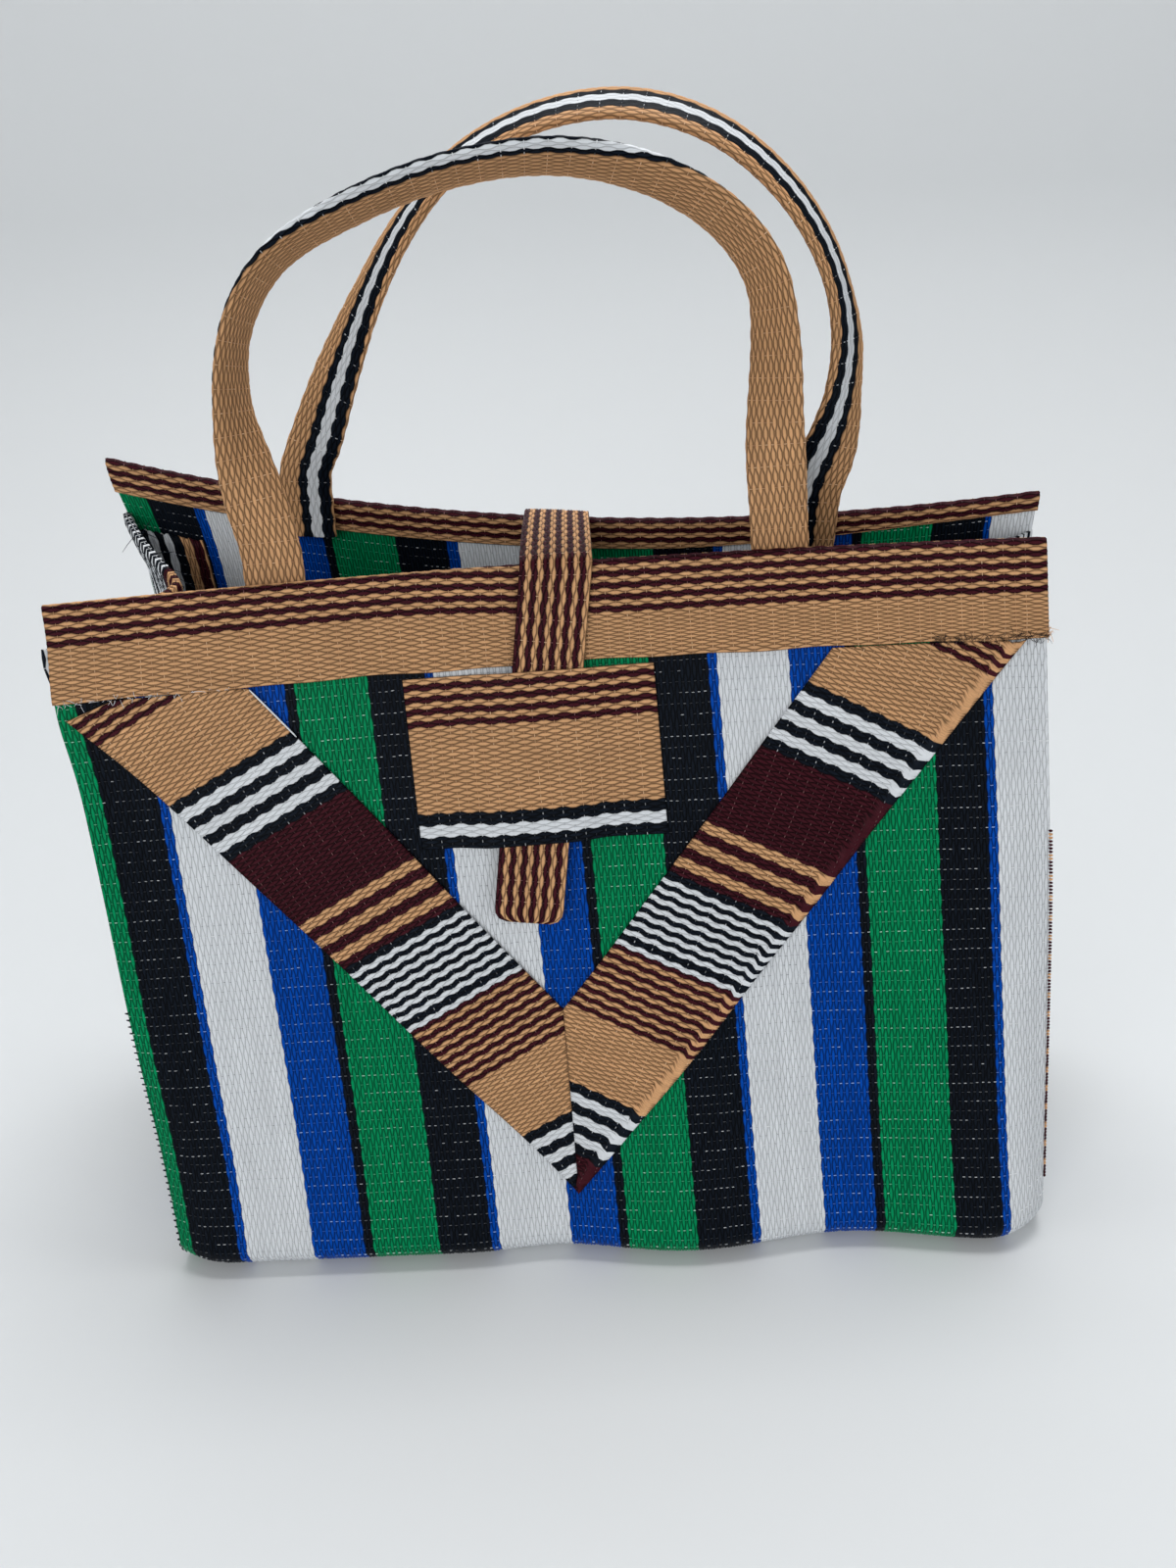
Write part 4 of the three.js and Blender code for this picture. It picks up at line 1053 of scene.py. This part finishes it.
def handle_mesh(name, k):
    """A closed tube of straws. The front handle shows the camera its plain face, the back one its stripes."""
    rows, loop_length, hinge, up = handle_course(k)
    course = resample(rows, 9.0)
    length = course[0][-1]
    straws = 2 * round(AROUND / PITCH / 2)
    ties = round(length / HANDLE_TIE)
    nr, nc = ties * 4 + 1, 2 * straws
    steps, tri = (np.delete(x, -2)[:, None] for x in tie_steps(ties))
    lean, crest, side = straw_columns(nc)
    q = (np.arange(nc) / 2 + ZIGZAG * lean * tri) / straws
    lift = straw_lift(crest, side, tri)
    roll, rise_from, rise_to, fall_from, fall_to = k["roll"]

    def place(q, v, out):
        share = np.clip((v - HANDLE_SEWN) / loop_length, 0, 1)
        rolled = roll * smoothstep(share, rise_from, rise_to) * (1 - smoothstep(share, fall_from, fall_to))
        w, t, nw, nt = SECTION(q + rolled)
        t, nt = t * k["face"], nt * k["face"]
        flat = 1 - 0.2 * smoothstep(np.abs(share - 0.5), 0.42, 0.5)
        centre, across, through, _ = at_course(course, v)
        return centre + across * (w + nw * out)[..., None] + through * (t * flat + nt * out)[..., None]

    p = place(q, steps / ties * length + 0 * q, RELIEF * lift - 0.15)
    verts = np.concatenate([p.reshape(-1, 3), [p[0].mean(0), p[-1].mean(0)]])
    r, c = np.indices((nr - 1, nc)).reshape(2, -1)
    ids = np.arange(nr * nc).reshape(nr, nc)
    after, tip = np.roll(ids, -1, 1), np.full(nc, nr * nc)
    quads = np.stack([ids[:-1], after[:-1], after[1:], ids[1:]], -1).reshape(-1, 4)
    caps = np.concatenate([np.stack([after[0], ids[0], tip], 1), np.stack([ids[-1], after[-1], tip + 1], 1)])
    # colour by the place round the band
    middle = (np.arange(straws) + 0.5) / straws
    stripes = by_width(k["stripes"], 0)(np.clip((middle - 0.5) * 200, 0, 100))
    colour = np.where(middle < 0.5, KEYS.index("T"), stripes)
    tone = RNG.random(straws)
    straw = np.r_[c, ids[0], ids[0]] // 2
    # the tube is opened along one side in its map, and its two caps lie beside it
    grid = np.stack([c[:, None] + [0, 1, 1, 0], r[:, None] + [0, 0, 1, 1]], -1).reshape(-1, 2)
    angle = 2 * math.pi * ids[0] / nc
    disc = np.stack([np.cos(angle), np.sin(angle)], -1) * 0.015
    caps_uv = np.concatenate([np.stack([np.roll(disc, -1, 0), disc, 0 * disc], 1) + [0.965, at]
                              for at in (0.1, 0.2)])
    obj = raw_mesh(name + "_cloth", verts, np.r_[quads.ravel(), caps.ravel()],
                   np.repeat([4, 3], [len(quads), len(caps)]), colour[straw], tone[straw],
                   np.r_[lift.ravel(), 0.5, 0.5],
                   np.r_[[0.03, 0.02] + grid / [nc, nr - 1] * [0.9, 0.96], caps_uv.reshape(-1, 2)],
                   np.r_[grid / [2, 4], np.full((caps.size, 2), 0.3)])
    dress(obj, None, [name, name + "_left_end", name + "_right_end"])
    i, j = np.mgrid[0:straws:2, 1:ties].reshape(2, -1)
    keep = RNG.random(len(i)) > DASH_SKIPPED
    i, j = i[keep], j[keep]
    pts = np.stack([place((i + 0.5) / straws + x * DASH_LONG / straws / 2, j / ties * length
                          + y * DASH_WIDE / 2, -0.02 + 0.27 * z) for x, y, z in DASH_SHAPE], 1)
    # tone: how far each thread goes from its dark colour to its painted glint
    threads = small_pieces(name + "_tie_threads", pts, DASH_FACES, colour[i], RNG.random(len(i)) ** 1.6,
                           THREADS)
    dress(threads, None, ())
    for piece in (obj, threads):
        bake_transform(piece)


handle_mesh("front_handle", FRONT_HANDLE)
handle_mesh("back_handle", BACK_HANDLE)


# ---- seams, fibres and the gusset's corner
def tube_pieces(name, lines, radius, letters, sides=5):
    """Closed tubes of thread along lines of points (piece, station, xyz), coloured in turn by letters."""
    n, m = lines.shape[:2]
    way = unit(np.gradient(lines, axis=1))
    ref = np.where(np.abs(way[..., 2:]) > 0.8, np.array([0.0, 1.0, 0.0]), np.array([0.0, 0.0, 1.0]))
    side = unit(np.cross(way, ref))
    other = np.cross(way, side)
    angle = 2 * math.pi * np.arange(sides)[:, None] / sides
    thick = np.where(np.isin(np.arange(m), (0, m - 1)), 0.6, 1.0)[:, None, None]
    rings = lines[:, :, None] + radius * thick * (side[:, :, None] * np.cos(angle)
                                                  + other[:, :, None] * np.sin(angle))
    pts = np.concatenate([rings.reshape(n, m * sides, 3), lines[:, :1], lines[:, -1:]], 1)
    ring, top, tip = [(k, (k + 1) % sides) for k in range(sides)], (m - 1) * sides, m * sides
    cells = [(r + a, r + b, r + sides + b, r + sides + a) for r in range(0, top, sides) for a, b in ring]
    cells += [(b, a, tip) for a, b in ring] + [(top + a, top + b, tip + 1) for a, b in ring]
    codes = np.array([KEYS.index(letters[i % len(letters)]) for i in range(n)])
    dress(small_pieces(name, pts, cells, codes, RNG.random(n), MATERIALS), "bag", ())


def edge_loops(hand, low, high, step, reach, stick):
    """Overcast loops round a side edge of the front wall."""
    h = np.arange(low, high, step)[:, None]
    turn = np.linspace(-0.5, 0.5, 7) * math.pi
    a = hand * (HALF_WIDTH - reach + (reach + stick) * np.cos(turn))
    return on_wall(FRONT, a, h + 0.9 * turn / math.pi * step, 1.05 * np.sin(turn))


tube_pieces("left_edge_overcast", edge_loops(-1, 4, 118, 2.9, 1.5, 0.9), 0.28, "K")
tube_pieces("right_edge_overcast", edge_loops(1, 22, 168, 1.35, 1.2, 0.35), 0.5, "MMMMTT")
across, up = np.linspace((-112.6, STRIP_TOP - 0.5), (-98.5, STRIP_TOP - 18.5), 12).T
tube_pieces("strip_edge_thread", on_wall(FRONT, across, up, SHEET / 2 + GAP + TRIM)[None], 0.33, "W")


def fibres(name, count, place, size, letter, radius=0.09):
    """Short loose fibres with a random curl."""
    start = place(RNG.random(count), RNG.random(count))
    way = unit(RNG.normal(size=(count, 3)))
    curl = RNG.normal(size=(count, 3)) * 0.5
    t = np.linspace(0, 1, 6)[:, None]
    length = size * (0.4 + 0.8 * RNG.random(count))[:, None, None]
    lines = start[:, None] + length * (way[:, None] * t + curl[:, None] * t ** 2)
    tube_pieces(name, lines, radius, letter, sides=4)


BAND_FOOT = WALL_HEIGHT - BINDING_DROP
fibres("band_fibres_left", 60,
       lambda x, y: on_wall(FRONT, -176 + 60 * x ** 1.5, BAND_FOOT - 0.3 + 0.8 * y, 2.2), 2.2, "W")
fibres("band_fibres_right", 190,
       lambda x, y: on_wall(FRONT, 134 + 43 * x ** 0.8, BAND_FOOT - 0.6 + 2.4 * y, 2.5), 2.6, "K", 0.07)
fibres("band_end_fibres", 30, lambda x, y: on_wall(FRONT, 177.5 + 0.5 * x, BAND_FOOT + 5 * y, 1.5), 2.6, "T")
fibres("gusset_hem_fibres", 14, lambda x, y: on_gusset(-1, 0.5 + 0.4 * x, 252, -2.0), 7.0, "K", 0.14)

# the gusset's front corner shows a little past the end of the rim band
CORNER_LEFT, CORNER_RIGHT, CORNER_LOW, CORNER_HIGH, CORNER_SEAM = -181.0, -170.5, 238.0, 258.0, -176.0


def corner_place(u, v, out):
    past = u - CORNER_SEAM
    a = CORNER_SEAM + np.minimum(past, 0) * np.clip((v - 236.5) / 16, 0.03, 1) + np.maximum(past, 0)
    return on_wall(FRONT, a, v, -1.9 + out)


weave = Weave("left_gusset_corner", corner_place, (CORNER_LEFT, CORNER_RIGHT), (CORNER_LOW, CORNER_HIGH),
              by_width("K1.6 W1.1 K9", CORNER_LEFT), SHEET / 2 - 0.1, fine=False)
lay(weave, nodes=())

# ---- floor: a sweep of paper, in metres
WALL_AT, SWEEP, HALF_FLOOR = 0.4, 0.35, 3.0   # where it begins to rise, the bend's radius, half the width
profile = [(y, 0.0) for y in (-3.0, -1.0, 0.0, WALL_AT)]
profile += [(WALL_AT + SWEEP * math.sin(t), SWEEP - SWEEP * math.cos(t))
            for t in np.linspace(0.1, math.pi / 2, 14)]
profile += [(WALL_AT + SWEEP, z) for z in (1.0, 2.5)]
rows = len(profile)
me = bpy.data.meshes.new("floor")
me.from_pydata([(x, y, z) for x in (-HALF_FLOOR, HALF_FLOOR) for y, z in profile], [],
               [(i, i + rows, i + rows + 1, i + 1) for i in range(rows - 1)])
me.polygons.foreach_set("use_smooth", np.ones(rows - 1, bool))
paper = Nodes("floor_paper")
paper.set(paper.bsdf, {"Base Color": (0.68, 0.70, 0.712, 1), "Roughness": 0.9, "Specular IOR Level": 0.15})
me.materials.append(paper.mat)
put("floor", me)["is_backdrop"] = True

low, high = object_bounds()
